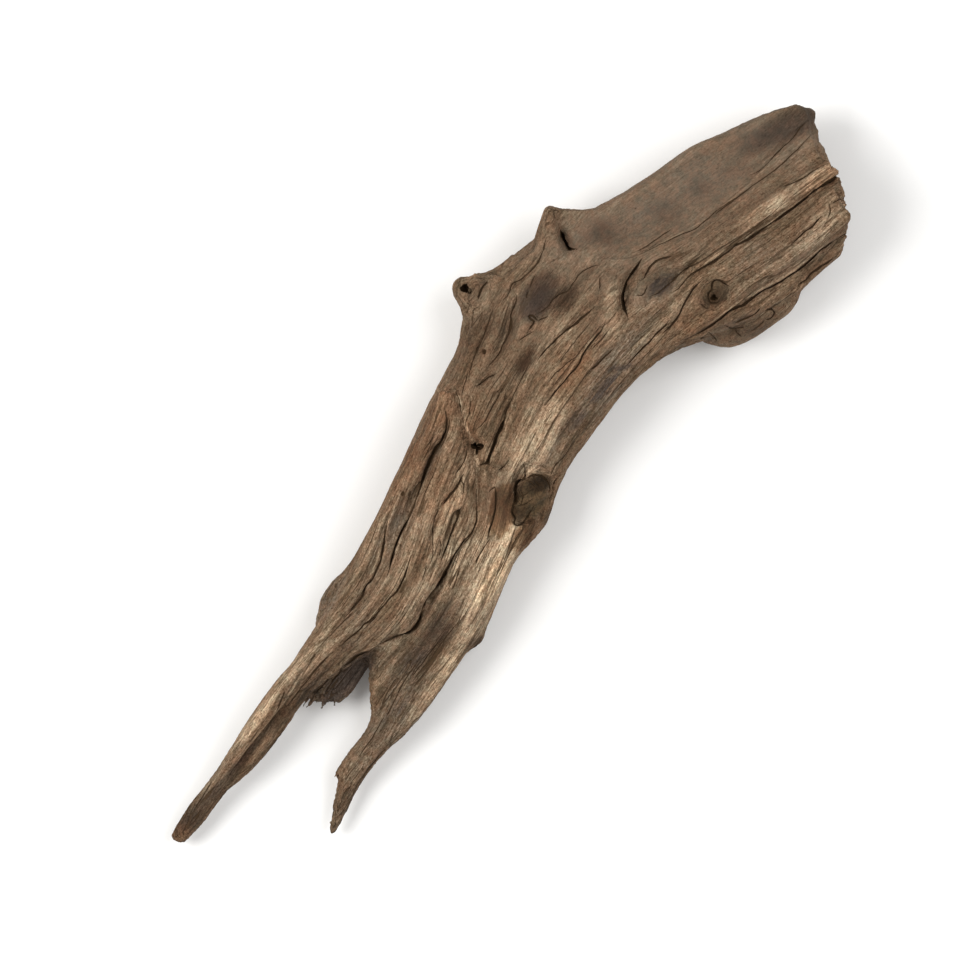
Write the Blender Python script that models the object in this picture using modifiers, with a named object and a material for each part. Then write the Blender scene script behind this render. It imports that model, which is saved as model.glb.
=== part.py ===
"""A piece of driftwood: a weathered limb with a scooped butt, a branch horn, an ear with a knot hole, and a
fork of two tines over a short ragged heel. It is one piece of wood, lying on three worn spots of its underside.

The wood is drawn in plan, in millimetres, on a square of PLAN_SIDE a side: x to the right, y up the sheet, and
z up from the surface that it lies on. Each limb is a loft between rows, the limbs are fused, the hollows, ridges,
splits and knots are worked into the fused surface, and the result is turned so that it lies along X.
"""

import math

import bmesh
import bpy
import numpy as np
from mathutils import Matrix, Vector, noise

MM = 0.001
PLAN_SIDE = 480.0
PLAN_TURN_DEG = -43.0

RING_POINTS = 80
ROW_STEPS = 5
LIMB_SQUARENESS = 2.35
# Flutes run along each limb: spacing, length, height on a limb at least as broad as FLUTED_BREADTH.
FLUTES = ((9.0, 130.0, 2.6), (5.0, 70.0, 1.5))
FLUTED_BREADTH = 50.0
FUSING_VOXEL_MM = 1.3
FINAL_VOXEL_MM = 1.0
BLEND_PASSES = 7
BLEND_SHRINKAGE = 0.5
TARGET_TRIANGLES = 11300

WOOD_COLOUR = (0.17, 0.115, 0.073, 1.0)
WOOD_ROUGHNESS = 0.85

# Each row of a limb: left edge x, y; right edge x, y; height of its top; height of its underside.
TRUNK = (
    (425.0, 436.5, 444.0, 374.0, 50.0, 18.0),
    (398.5, 428.0, 424.0, 356.5, 53.0, 13.0),
    (380.0, 422.0, 411.0, 345.5, 56.0, 9.0),
    (360.0, 412.5, 397.5, 333.5, 58.0, 6.0),
    (345.0, 406.0, 382.5, 324.5, 59.0, 5.0),
    (325.0, 392.0, 367.5, 316.5, 59.0, 4.0),
    (307.5, 381.5, 351.5, 311.0, 59.0, 4.0),
    (292.5, 373.5, 336.0, 304.0, 58.0, 4.0),
    (278.0, 366.0, 322.5, 294.5, 57.0, 5.0),
    (265.0, 357.0, 310.8, 282.4, 56.0, 7.0),
    (250.0, 345.0, 301.0, 269.8, 55.0, 9.0),
    (239.0, 334.0, 292.4, 258.9, 54.0, 10.0),
    (233.0, 320.0, 285.0, 248.5, 52.0, 11.0),
    (229.5, 305.0, 280.0, 238.5, 50.0, 11.0),
    (221.0, 289.0, 276.5, 230.0, 48.0, 10.0),
    (211.8, 270.0, 272.5, 219.0, 46.0, 9.0),
    (203.0, 251.0, 265.0, 209.5, 44.0, 7.0),
    (193.5, 230.0, 257.5, 202.0, 41.0, 5.0),
    (184.0, 212.0, 251.5, 189.0, 38.0, 5.0),
    (175.0, 197.0, 247.0, 178.0, 35.0, 4.5),
    (165.0, 187.0, 243.0, 168.0, 31.0, 4.5),
    (159.0, 175.0, 238.0, 157.5, 28.0, 5.0),
    (157.5, 160.0, 218.0, 149.0, 24.5, 5.0),
    (155.5, 149.0, 189.0, 149.5, 22.0, 7.0),
    (154.0, 139.5, 181.0, 142.5, 20.0, 8.5),
    (154.5, 132.5, 176.5, 135.0, 18.0, 9.5),
    (158.5, 129.0, 171.5, 130.0, 16.0, 10.5),
)
LONG_TINE = (
    (219.0, 284.0, 228.5, 282.0, 49.0, 28.0),
    (212.0, 270.0, 234.0, 266.0, 51.0, 26.0),
    (204.0, 252.5, 238.0, 249.0, 51.5, 24.0),
    (195.5, 235.0, 239.0, 230.0, 51.0, 22.0),
    (187.0, 218.0, 235.0, 212.5, 49.0, 21.0),
    (179.0, 203.5, 225.0, 198.0, 47.0, 20.0),
    (171.5, 188.5, 216.0, 184.0, 45.0, 20.0),
    (165.0, 177.5, 209.5, 171.5, 43.0, 20.0),
    (158.0, 166.0, 199.0, 162.0, 41.0, 20.0),
    (151.5, 156.5, 185.0, 153.5, 39.0, 19.0),
    (146.0, 148.0, 172.5, 146.5, 36.5, 17.5),
    (140.0, 141.5, 161.0, 138.5, 34.0, 16.0),
    (134.0, 133.5, 151.0, 129.0, 31.5, 15.0),
    (127.0, 123.5, 144.0, 119.0, 28.5, 13.0),
    (120.0, 112.5, 135.0, 106.5, 25.5, 11.5),
    (112.5, 100.5, 127.0, 96.8, 22.5, 10.5),
    (105.5, 90.0, 116.0, 87.5, 20.0, 9.5),
    (98.0, 81.0, 108.0, 78.5, 18.0, 8.5),
    (91.5, 72.0, 101.0, 69.0, 16.0, 8.0),
    (87.2, 65.0, 94.5, 61.5, 14.5, 7.5),
    (84.8, 61.0, 90.2, 57.8, 13.0, 7.5),
)
BLADE_TINE = (
    (245.0, 230.0, 272.5, 219.0, 43.0, 20.0),
    (232.5, 207.5, 259.0, 202.0, 41.0, 19.0),
    (220.0, 190.0, 252.5, 190.0, 39.0, 18.0),
    (209.0, 174.0, 246.0, 175.5, 37.0, 17.5),
    (197.5, 161.0, 238.5, 162.0, 34.5, 17.0),
    (186.0, 152.5, 229.0, 148.0, 32.0, 16.0),
    (184.5, 142.5, 220.0, 135.0, 29.0, 15.0),
    (185.0, 131.5, 211.5, 123.5, 26.5, 14.0),
    (185.5, 121.0, 203.5, 114.0, 24.0, 13.0),
    (180.5, 110.0, 194.5, 106.0, 21.5, 12.0),
    (174.5, 102.5, 188.0, 98.5, 19.0, 11.0),
    (170.5, 95.0, 182.5, 91.0, 17.0, 10.0),
    (168.5, 86.0, 177.5, 82.5, 15.0, 9.0),
    (166.5, 76.0, 173.0, 73.5, 13.5, 8.0),
    (164.8, 66.0, 169.0, 66.0, 12.0, 7.5),
    (164.4, 62.0, 167.0, 62.0, 11.0, 8.0),
)
SPLINTER = (
    (181.0, 112.0, 184.5, 109.0, 20.0, 15.0),
    (175.0, 104.5, 178.0, 102.0, 18.0, 14.0),
    (170.0, 97.3, 173.5, 95.5, 16.5, 12.0),
    (166.6, 92.5, 169.2, 91.2, 15.0, 11.5),
)
HORN = (
    (266.0, 346.0, 307.5, 355.0, 52.0, 16.0),
    (267.5, 359.0, 303.0, 374.0, 51.5, 20.0),
    (270.0, 367.0, 291.0, 374.5, 50.0, 25.0),
    (272.0, 372.5, 281.5, 375.0, 47.0, 31.0),
    (272.8, 376.6, 275.5, 376.6, 44.0, 37.0),
)
EAR = (
    (249.0, 344.0, 241.0, 312.5, 48.0, 14.0),
    (239.0, 342.0, 233.0, 321.0, 45.0, 20.0),
    (233.0, 341.0, 230.5, 327.0, 43.0, 25.0),
    (229.0, 340.5, 228.0, 331.0, 42.0, 27.0),
    (226.5, 338.0, 226.5, 334.0, 38.0, 31.0),
)
EAR_BARB = (
    (249.0, 346.0, 247.0, 339.0, 40.0, 32.0),
    (243.0, 343.5, 243.0, 339.0, 38.0, 33.0),
    (238.0, 343.5, 238.5, 341.0, 37.0, 34.0),
)
LUMP = (
    (392.5, 337.5, 400.0, 334.0, 32.0, 16.0),
    (384.0, 335.0, 396.5, 326.5, 37.0, 8.0),
    (374.0, 331.5, 387.5, 319.0, 38.0, 4.0),
    (364.0, 328.5, 376.0, 311.5, 37.0, 3.0),
    (356.0, 325.5, 365.5, 307.0, 35.0, 4.0),
    (350.0, 322.5, 357.0, 308.0, 31.0, 8.0),
    (346.0, 319.0, 351.0, 310.0, 26.0, 14.0),
)
LIMBS = (TRUNK, LONG_TINE, BLADE_TINE, SPLINTER, HORN, EAR, EAR_BARB, LUMP)

# The scoop is a trough along this line: the height of its floor at each end, and how far it rises at its
# half width.
SCOOP_LINE = ((284.0, 362.0), (312.0, 374.0), (345.0, 392.0), (378.0, 410.0), (425.0, 434.0))
SCOOP_FLOOR = (44.0, 38.0)
SCOOP_RISE_MM = 15.0
SCOOP_HALF_WIDTH = 30.0
SCOOP_SOFTNESS = 1.5

# A mark is worked into the surface along a line in plan: height (below zero for a hollow), half width, then
# its line. It thins out to nothing at both ends, and where the wood is steeper than MARK_SLOPE, a cosine.
MARK_TAPER = 0.35
MARK_SLOPE = 0.5
MARK_END_WIDTH = 0.45
TOP_MARKS = (
    # The crest beside the scoop, the splits along it, and the horn's ridge and cleft
    (3.5, 8.0, (270, 350), (300, 349), (325, 350), (345, 356), (370, 370), (395, 383), (440, 410)),
    (-2.6, 1.8, (412, 426), (397.5, 412.5), (391.5, 406.5), (384, 398.5), (375, 392.5), (360, 384)),
    (-2.6, 1.8, (376, 386), (357.5, 373.5), (347.5, 365), (332.5, 358.5), (318, 352)),
    (2.5, 2.6, (272, 385), (276, 369), (278, 360), (281, 354)),
    (-7.0, 2.6, (278.5, 367), (281.5, 361), (284.5, 355.5), (289, 353)),
    # The butt's open cleft, and the ridges and valleys along its lower side
    (-5.0, 1.9, (450, 412), (417.5, 391), (402.5, 381), (385, 368), (367.5, 357), (352, 347)),
    (2.4, 5.0, (450, 400), (419, 383), (400, 371), (380, 358), (362, 347)),
    (-2.4, 1.7, (414, 372), (410, 369.5), (402, 364), (392, 355)),
    (2.2, 5.5, (450, 388), (417, 368), (400, 356), (385, 346), (362, 338)),
    (-5.5, 3.6, (450, 380), (422, 361), (405, 349.5), (385, 336.5), (365, 324.5), (344, 311)),
    (-4.0, 3.0, (430, 360), (416, 350.5), (406, 343.5), (393, 333)),
    # The eye: its crescent split, the collar beside it, and the hollows within it
    (-6.5, 2.0, (324, 353), (316, 344), (312, 336), (311, 328), (315, 318)),
    (2.6, 7.0, (298, 356), (302, 338), (304, 322), (312, 306)),
    (2.2, 3.0, (331, 349), (325, 341), (320, 333), (318, 325)),
    (-3.0, 1.8, (350, 349), (338.5, 341.5), (331, 335), (323, 330)),
    (-2.6, 1.7, (360, 351), (350, 345), (341, 336), (335, 330)),
    (-2.6, 1.7, (353, 342), (344, 331.5), (336.5, 318.5), (329, 311)),
    (-2.4, 1.6, (336, 321), (325, 309.5), (319, 304), (312, 296)),
    # Splits and swellings of the shoulder
    (-3.6, 2.0, (274, 364), (270.5, 352.5), (266, 345.5), (255, 335), (250, 328)),
    (-4.4, 2.2, (258, 337), (257, 326.5), (253.5, 311), (248, 300), (241, 291)),
    (-3.0, 1.8, (248, 331), (243, 315), (239, 306), (233, 290)),
    (2.0, 6.0, (262, 338), (265, 325), (262, 312), (256, 300)),
    (-3.4, 2.0, (304, 351), (289.5, 342.5), (284, 334.5), (274.5, 327), (262, 320)),
    (-3.2, 1.9, (300, 329), (286, 316.5), (276.5, 308.5), (266, 295)),
    (-3.2, 1.9, (304, 321), (295, 308), (290, 299), (282.5, 290), (270, 274)),
    (-2.6, 1.7, (310, 309), (299, 298), (290, 288)),
    (2.0, 5.0, (306, 326), (292, 310), (283, 298), (272, 282)),
    (-3.6, 2.4, (249, 295), (244, 291), (237, 286)),
    # The split beside the strand's head, and the small ridge that it ends at
    (-5.0, 2.3, (257.5, 291), (253, 273.5), (249, 263), (245, 252), (240, 246)),
    (-3.0, 1.8, (254, 290), (244.5, 273.5), (236, 261)),
    (1.8, 2.0, (241, 247), (246, 245), (252, 243)),
    # The raised strand that runs into the long tine: the valley on its left, the split on its right
    (-6.5, 4.6, (223, 276), (219, 258), (212, 242), (206, 230), (201, 217), (196, 204), (188, 185)),
    (-2.4, 1.7, (211, 244), (206, 231), (202, 219)),
    (-4.5, 2.3, (227, 286), (231, 268), (237, 255), (239.5, 243), (239.5, 230), (238, 218), (232, 206)),
    (-3.4, 2.4, (233, 213), (225, 199), (218.5, 187.5), (211, 174), (205, 164.5), (196, 160), (182, 152)),
    (-3.4, 1.9, (235, 251), (227.5, 235), (220.5, 227), (216.5, 215), (215, 196)),
    (-4.2, 2.2, (232, 229), (225.5, 214), (220, 199)),
    (-3.0, 1.8, (208, 207), (200, 187), (189, 174), (179, 164.5), (168, 154)),
    (-3.0, 1.8, (193, 221), (191.5, 205), (186, 190), (177.5, 177.5), (169, 167)),
    (1.6, 3.0, (201, 222), (197, 205), (192, 190), (183, 177)),
    # Hollows and ridges of the blade, and flutes along the tines
    (-3.2, 6.5, (236, 190), (224, 166), (212, 148), (203, 128)),
    (2.0, 4.0, (252, 210), (245, 188), (234, 168), (222, 150)),
    (-2.4, 1.8, (246, 214), (239, 201), (233, 190)),
    (2.2, 3.6, (165, 163), (150, 147.5), (135, 128), (122, 110), (112, 96), (90, 68)),
    (-2.6, 2.6, (152, 138), (142, 128), (134, 117), (124, 104), (104, 82)),
    (-1.8, 1.7, (190, 112), (184, 103), (177, 92), (171, 80)),
)
# The same for the underside.
UNDER_MARKS = (
    (-4.0, 4.0, (440, 400), (405, 385), (370, 365), (335, 345), (305, 325), (275, 300)),
    (-3.0, 3.0, (400, 350), (350, 335), (315, 310), (285, 280), (262, 245)),
    (-3.5, 3.5, (262, 335), (250, 300), (237, 270), (220, 240), (205, 212)),
    (2.5, 9.0, (345, 380), (310, 355), (280, 330), (250, 300)),
    (-3.0, 2.4, (440, 380), (410, 368), (385, 352), (362, 340)),
    (-2.5, 2.6, (250, 235), (228, 200), (210, 180), (190, 160)),
    (-3.0, 2.2, (300, 312), (280, 292), (258, 262), (246, 232)),
)
# Bowls are round swellings and hollows of the upper side: centre x, y; radius; height.
BOWLS = (
    (331.0, 337.5, 6.5, -3.0), (269.0, 331.0, 9.0, -2.2), (283.0, 330.0, 7.0, -1.8), (262.5, 299.0, 8.0, -2.0),
    (249.0, 236.0, 10.0, 2.2), (300.0, 262.0, 13.0, 2.0), (280.0, 268.0, 9.0, -1.5), (237.0, 336.0, 6.0, 1.5),
    (233.0, 336.0, 2.6, -6.0), (239.0, 257.5, 3.2, -6.0), (385.0, 321.5, 4.0, -3.0), (369.0, 314.0, 3.5, -2.5),
    (356.5, 332.5, 2.4, -4.0),
)
# Knots: centre x, y; half length along the sheet's diagonal; half width; depth of the groove; plug's height.
KNOTS = (
    (266.0, 234.0, 12.0, 9.0, 3.8, 1.6),
    (357.5, 333.5, 7.0, 5.8, 3.6, -0.5),
)
KNOT_GROOVE = 0.26
KNOT_UNEVENNESS = 0.13

# The butt is broken off along this line, which is drawn in plan and runs past both sides of the wood. Splinters
# stand out of the break: spacing, height.
BREAK_LINE = ((392, 440), (399.5, 427.5), (404.5, 425.5), (405.5, 420.5), (408.0, 410.0), (413.0, 398.5),
              (418.0, 391.5), (420.0, 381.0), (423.0, 370.0), (422.5, 365.0), (423.0, 361.0), (420.5, 353.0),
              (416, 342))
BREAK_COLUMNS, BREAK_LEVELS = 90, 56
BREAK_HEIGHTS = (-8.0, 70.0)
BREAK_DEPTH = 60.0
SPLINTERS = ((12.0, 4.5), (5.0, 2.2))
SPLINTER_TOP, SPLINTER_FADE = 56.0, 6.0

# The heel frays towards this point in plan: reach of the fray, height that it stays under, and fibre lengths.
FRAY_CENTRE = (165.0, 131.0)
FRAY_REACH, FRAY_CEILING, FRAY_LENGTH, FRAY_SPACING = 12.0, 17.0, 4.0, 2.5
FRAY_WAY = (-0.25, -0.97)

# The worn spots that it rests on: centre x, y; reach; how far each stands below the wood round it.
FEET = ((367.0, 322.0, 11.0, 5.0), (303.0, 362.0, 12.0, 6.5), (200.0, 184.0, 10.5, 6.0))
FOOT_LEVEL = 0.9
FOOT_TOLERANCE_MM = 0.05


def clear_scene():
    for obj in list(bpy.data.objects):
        bpy.data.objects.remove(obj)


def smooth_rows(rows, steps):
    """Points of a Catmull-Rom curve through the rows, with this many steps between one row and the next."""
    rows = np.array(rows, float)
    padded = np.vstack([2 * rows[0] - rows[1], rows, 2 * rows[-1] - rows[-2]])
    found = []
    for a, b, c, d in zip(padded, padded[1:], padded[2:], padded[3:]):
        for t in np.arange(steps) / steps:
            found.append(0.5 * (2 * b + (c - a) * t + (2 * a - 5 * b + 4 * c - d) * t**2
                                + (3 * b - a - 3 * c + d) * t**3))
    return np.array(found + [rows[-1]])


def add_limb(mesh, rows):
    """A closed loft: each row is a squarish oval that stands on edge between the row's two edge points."""
    power = 2 / LIMB_SQUARENESS
    rows = smooth_rows(rows, ROW_STEPS)
    middles = [Vector(((row[0] + row[2]) / 2, (row[1] + row[3]) / 2, (row[4] + row[5]) / 2)) for row in rows]
    halves = [Vector(((row[2] - row[0]) / 2, (row[3] - row[1]) / 2, 0)) for row in rows]
    heights = [(row[4] - row[5]) / 2 for row in rows]
    breadth = 2 * max(half.length for half in halves)
    along, rings = 0.0, []
    for middle, half, height, before in zip(middles, halves, heights, middles[:1] + middles):
        along += (middle - before).length
        ring = []
        for k in range(RING_POINTS):
            angle = 2 * math.pi * k / RING_POINTS
            across = math.copysign(abs(math.cos(angle)) ** power, math.cos(angle))
            up = math.copysign(abs(math.sin(angle)) ** power, math.sin(angle))
            out = half.normalized() * math.cos(angle) + Vector((0, 0, math.sin(angle)))
            rise = flute_height(angle, along, breadth) * min(1, 2 * half.length / FLUTED_BREADTH)
            ring.append(mesh.verts.new(middle + half * across + Vector((0, 0, height * up)) + out * rise))
        rings.append(ring)
    for ring, following in zip(rings, rings[1:]):
        for k in range(RING_POINTS):
            n = (k + 1) % RING_POINTS
            mesh.faces.new((ring[k], ring[n], following[n], following[k]))
    mesh.faces.new(rings[0])
    mesh.faces.new(list(reversed(rings[-1])))


def flute_height(angle, along, breadth):
    """How far the wood stands out at this angle round a limb and this far along it."""
    height = 0.0
    for spacing, length, rise in FLUTES:
        radius = breadth / 2 / spacing
        at = (radius * math.cos(angle), radius * math.sin(angle), along / length + spacing)
        height += rise * noise.noise(at)
    return height


def object_from(mesh, name, collection):
    """A new object with this bmesh as its mesh, its faces pointing out."""
    bmesh.ops.recalc_face_normals(mesh, faces=mesh.faces)
    data = bpy.data.meshes.new(name)
    mesh.to_mesh(data)
    mesh.free()
    obj = bpy.data.objects.new(name, data)
    collection.objects.link(obj)
    return obj


def fused_limbs(collection):
    """The limbs as one skin, in millimetres on the plan: overlapping lofts, remeshed together and blended."""
    mesh = bmesh.new()
    for rows in LIMBS:
        add_limb(mesh, rows)
    limbs = object_from(mesh, "limbs", collection)
    remesh(limbs, FUSING_VOXEL_MM)
    blend = limbs.modifiers.new("blend", "SMOOTH")
    blend.factor = 0.5
    blend.iterations = BLEND_PASSES
    return limbs


def remesh(obj, voxel):
    modifier = obj.modifiers.new("remesh", "REMESH")
    modifier.mode = "VOXEL"
    modifier.voxel_size = voxel


def baked(obj):
    """The object's mesh with its modifiers applied, and the object removed."""
    graph = bpy.context.evaluated_depsgraph_get()
    data = bpy.data.meshes.new_from_object(obj.evaluated_get(graph))
    bpy.data.objects.remove(obj)
    return data


def read_points(data):
    points = np.empty(len(data.vertices) * 3, np.float32)
    data.vertices.foreach_get("co", points)
    return points.reshape(-1, 3).astype(float)


def read_normals(data):
    normals = np.empty(len(data.vertices) * 3, np.float32)
    data.vertex_normals.foreach_get("vector", normals)
    return normals.reshape(-1, 3).astype(float)


def near_line(points, line):
    """How far each point is from the line in plan, and what share of the line lies before its nearest point."""
    line = np.array(line, float)
    lengths = np.linalg.norm(np.diff(line, axis=0), axis=1)
    starts = np.concatenate([[0.0], np.cumsum(lengths)])
    nearest = np.full(len(points), np.inf)
    along = np.zeros(len(points))
    for a, b, length, start in zip(line, line[1:], lengths, starts):
        way = (b - a) / length
        offset = points[:, :2] - a
        t = np.clip(offset @ way, 0, length)
        away = np.linalg.norm(offset - t[:, None] * way, axis=1)
        nearer = away < nearest
        nearest[nearer] = away[nearer]
        along[nearer] = (start + t)[nearer]
    return nearest, along / starts[-1]


def smooth_step(value, low, high):
    t = np.clip((value - low) / (high - low), 0, 1)
    return t * t * (3 - 2 * t)


def unevenness(points, wavelength):
    """Smooth noise between -1 and 1 at each point."""
    return np.array([noise.noise(point) for point in points / wavelength])


def carve_scoop(points, up):
    """Lowers the upper side to a trough where it stands above it."""
    away, share = near_line(points, SCOOP_LINE)
    floor = np.interp(share, (0, 1), SCOOP_FLOOR) + SCOOP_RISE_MM * (away / SCOOP_HALF_WIDTH) ** 2
    above = (points[:, 2] - floor) / SCOOP_SOFTNESS
    softened = SCOOP_SOFTNESS * np.log1p(np.exp(np.clip(above, -30, 30)))
    points[:, 2] -= softened * smooth_step(up, 0, MARK_SLOPE)


def mark_relief(points, marks):
    """The height that the marks add at each point."""
    height = np.zeros(len(points))
    for rise, half_width, *line in marks:
        away, share = near_line(points, line)
        taper = smooth_step(share, 0, MARK_TAPER) * smooth_step(1 - share, 0, MARK_TAPER)
        width = half_width * (MARK_END_WIDTH + (1 - MARK_END_WIDTH) * taper)
        height += rise * np.exp(-((away / width) ** 2)) * taper
    return height


def bowl_relief(points):
    height = np.zeros(len(points))
    for x, y, radius, rise in BOWLS:
        away = np.hypot(points[:, 0] - x, points[:, 1] - y)
        height += rise * np.exp(-((away / radius) ** 2))
    return height


def knot_relief(points):
    """Each knot: an uneven groove round it and a low plug within it."""
    height = np.zeros(len(points))
    diagonal = np.array([1, 1]) / math.sqrt(2)
    for x, y, half_length, half_width, depth, plug in KNOTS:
        offset = points[:, :2] - (x, y)
        long = offset @ diagonal / half_length
        wide = offset @ (diagonal * (1, -1)) / half_width
        angle = np.arctan2(wide, long)
        radius = np.hypot(long, wide) * (1 + KNOT_UNEVENNESS * np.sin(3 * angle + x))
        height -= depth * np.exp(-(((radius - 1) / KNOT_GROOVE) ** 2)) * (0.75 + 0.25 * np.sin(angle + x))
        height += plug * smooth_step(1 - radius, 0, 0.6)
    return height


def fray_heel(points):
    """Draws the end of the heel out in fibres."""
    away = np.hypot(points[:, 0] - FRAY_CENTRE[0], points[:, 1] - FRAY_CENTRE[1])
    share = smooth_step(FRAY_REACH - away, 0, FRAY_REACH / 2) * smooth_step(FRAY_CEILING - points[:, 2], -2, 2)
    fibre = unevenness(points * (1.0, 0.25, 0.8), FRAY_SPACING)
    points[:, :2] += np.outer(share * FRAY_LENGTH * fibre, FRAY_WAY)


def work_surface(data):
    """Works the scoop, the marks, the bowls, the knots and the feet into the fused skin."""
    points = read_points(data)
    normals = read_normals(data)
    up = normals[:, 2]
    carve_scoop(points, up)
    relief = mark_relief(points, TOP_MARKS) + bowl_relief(points) + knot_relief(points)
    points[:, 2] += relief * smooth_step(up, 0, MARK_SLOPE)
    points[:, 2] -= mark_relief(points, UNDER_MARKS) * smooth_step(-up, 0, MARK_SLOPE)
    fray_heel(points)
    points += normals * BLEND_SHRINKAGE
    for x, y, reach, stands in FEET:
        away = np.hypot(points[:, 0] - x, points[:, 1] - y)
        points[:, 2] -= stands * np.exp(-((away / reach) ** 2)) * smooth_step(-up, 0, MARK_SLOPE)
    data.vertices.foreach_set("co", points.astype(np.float32).ravel())
    data.update()


def break_cutter(collection):
    """A block beyond the break line, whose near face is a sheet of splinters."""
    line = np.array(BREAK_LINE)
    chord = line[-1] - line[0]
    way = np.array([-chord[1], chord[0]]) / np.linalg.norm(chord)
    stations = np.concatenate([[0.0], np.cumsum(np.linalg.norm(np.diff(line, axis=0), axis=1))])
    columns = np.linspace(0, stations[-1], BREAK_COLUMNS)
    levels = np.linspace(*BREAK_HEIGHTS, BREAK_LEVELS)
    mesh = bmesh.new()
    near, far = [], []
    for column in columns:
        x, y = (np.interp(column, stations, line[:, axis]) for axis in range(2))
        at = np.stack([np.full(BREAK_LEVELS, column), np.zeros(BREAK_LEVELS), levels], axis=1)
        rough = sum(rise * unevenness(at, spacing) for spacing, rise in SPLINTERS)
        # The splinters fade out towards the upper edge, which keeps the drawn line
        depth = rough * smooth_step(SPLINTER_TOP - levels, -SPLINTER_FADE, SPLINTER_FADE)
        near.append([mesh.verts.new((x + way[0] * d, y + way[1] * d, z)) for d, z in zip(depth, levels)])
        far.append([mesh.verts.new((x + way[0] * BREAK_DEPTH, y + way[1] * BREAK_DEPTH, z)) for z in levels])
    for first, second in zip(range(BREAK_COLUMNS - 1), range(1, BREAK_COLUMNS)):
        for low, high in zip(range(BREAK_LEVELS - 1), range(1, BREAK_LEVELS)):
            for sheet in (near, far):
                mesh.faces.new((sheet[first][low], sheet[second][low], sheet[second][high], sheet[first][high]))
        for level in (0, BREAK_LEVELS - 1):
            mesh.faces.new((near[first][level], near[second][level], far[second][level], far[first][level]))
    for column in (0, BREAK_COLUMNS - 1):
        for low, high in zip(range(BREAK_LEVELS - 1), range(1, BREAK_LEVELS)):
            mesh.faces.new((near[column][low], near[column][high], far[column][high], far[column][low]))
    return guide(object_from(mesh, "beyond_the_break", collection))


def guide(cutter):
    cutter.hide_render = True
    cutter.display_type = "WIRE"
    return cutter


def cut(obj, cutter):
    modifier = obj.modifiers.new(cutter.name, "BOOLEAN")
    modifier.operation = "DIFFERENCE"
    modifier.object = cutter


def wear_feet(data):
    """Flattens the feet at the foot level."""
    points = read_points(data)
    points[:, 2] = np.maximum(points[:, 2], FOOT_LEVEL)
    data.vertices.foreach_set("co", points.astype(np.float32).ravel())
    data.update()


def lay_along_x(data):
    """From millimetres on the plan to metres, turned to lie along X."""
    centre = Matrix.Translation((-PLAN_SIDE / 2, -PLAN_SIDE / 2, -FOOT_LEVEL))
    data.transform(Matrix.Rotation(math.radians(PLAN_TURN_DEG), 4, "Z") @ Matrix.Scale(MM, 4) @ centre)


def settle(data):
    """Makes the feet flat again after thinning, and puts the middle of the bounding box over the origin."""
    points = read_points(data)
    points[points[:, 2] < FOOT_TOLERANCE_MM * MM, 2] = 0
    low, high = points.min(axis=0), points.max(axis=0)
    points[:, :2] -= (low[:2] + high[:2]) / 2
    data.vertices.foreach_set("co", points.astype(np.float32).ravel())
    data.update()


def wood_material():
    material = bpy.data.materials.new("weathered_wood")
    material.use_nodes = True
    shader = material.node_tree.nodes["Principled BSDF"]
    shader.inputs["Base Color"].default_value = WOOD_COLOUR
    shader.inputs["Roughness"].default_value = WOOD_ROUGHNESS
    material.diffuse_color = WOOD_COLOUR
    return material


def build():
    clear_scene()
    collection = bpy.data.collections.new("driftwood")
    cutters = bpy.data.collections.new("cutters")
    bpy.context.scene.collection.children.link(collection)
    bpy.context.scene.collection.children.link(cutters)

    data = baked(fused_limbs(collection))
    work_surface(data)
    wood = bpy.data.objects.new("driftwood", data)
    collection.objects.link(wood)
    cut(wood, break_cutter(cutters))
    remesh(wood, FINAL_VOXEL_MM)
    data = baked(wood)

    wear_feet(data)
    lay_along_x(data)
    wood = bpy.data.objects.new("driftwood", data)
    collection.objects.link(wood)
    thin = wood.modifiers.new("thin", "DECIMATE")
    thin.ratio = TARGET_TRIANGLES / sum(len(face.vertices) - 2 for face in data.polygons)

    data = baked(wood)
    settle(data)
    data.name = "driftwood"
    data.materials.clear()
    data.materials.append(wood_material())
    data.shade_smooth()
    collection.objects.link(bpy.data.objects.new("driftwood", data))


build()
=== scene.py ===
"""Driftwood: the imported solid's skin is remeshed finely, and grain, splits, knots and weathering are worked into it.

Lines and spots are drawn on a sheet of SHEET_SIDE units a side, x to the right and y down, as one looks down on
the wood. Two units are one millimetre. Heights and reliefs are in millimetres.
"""

import math

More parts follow.
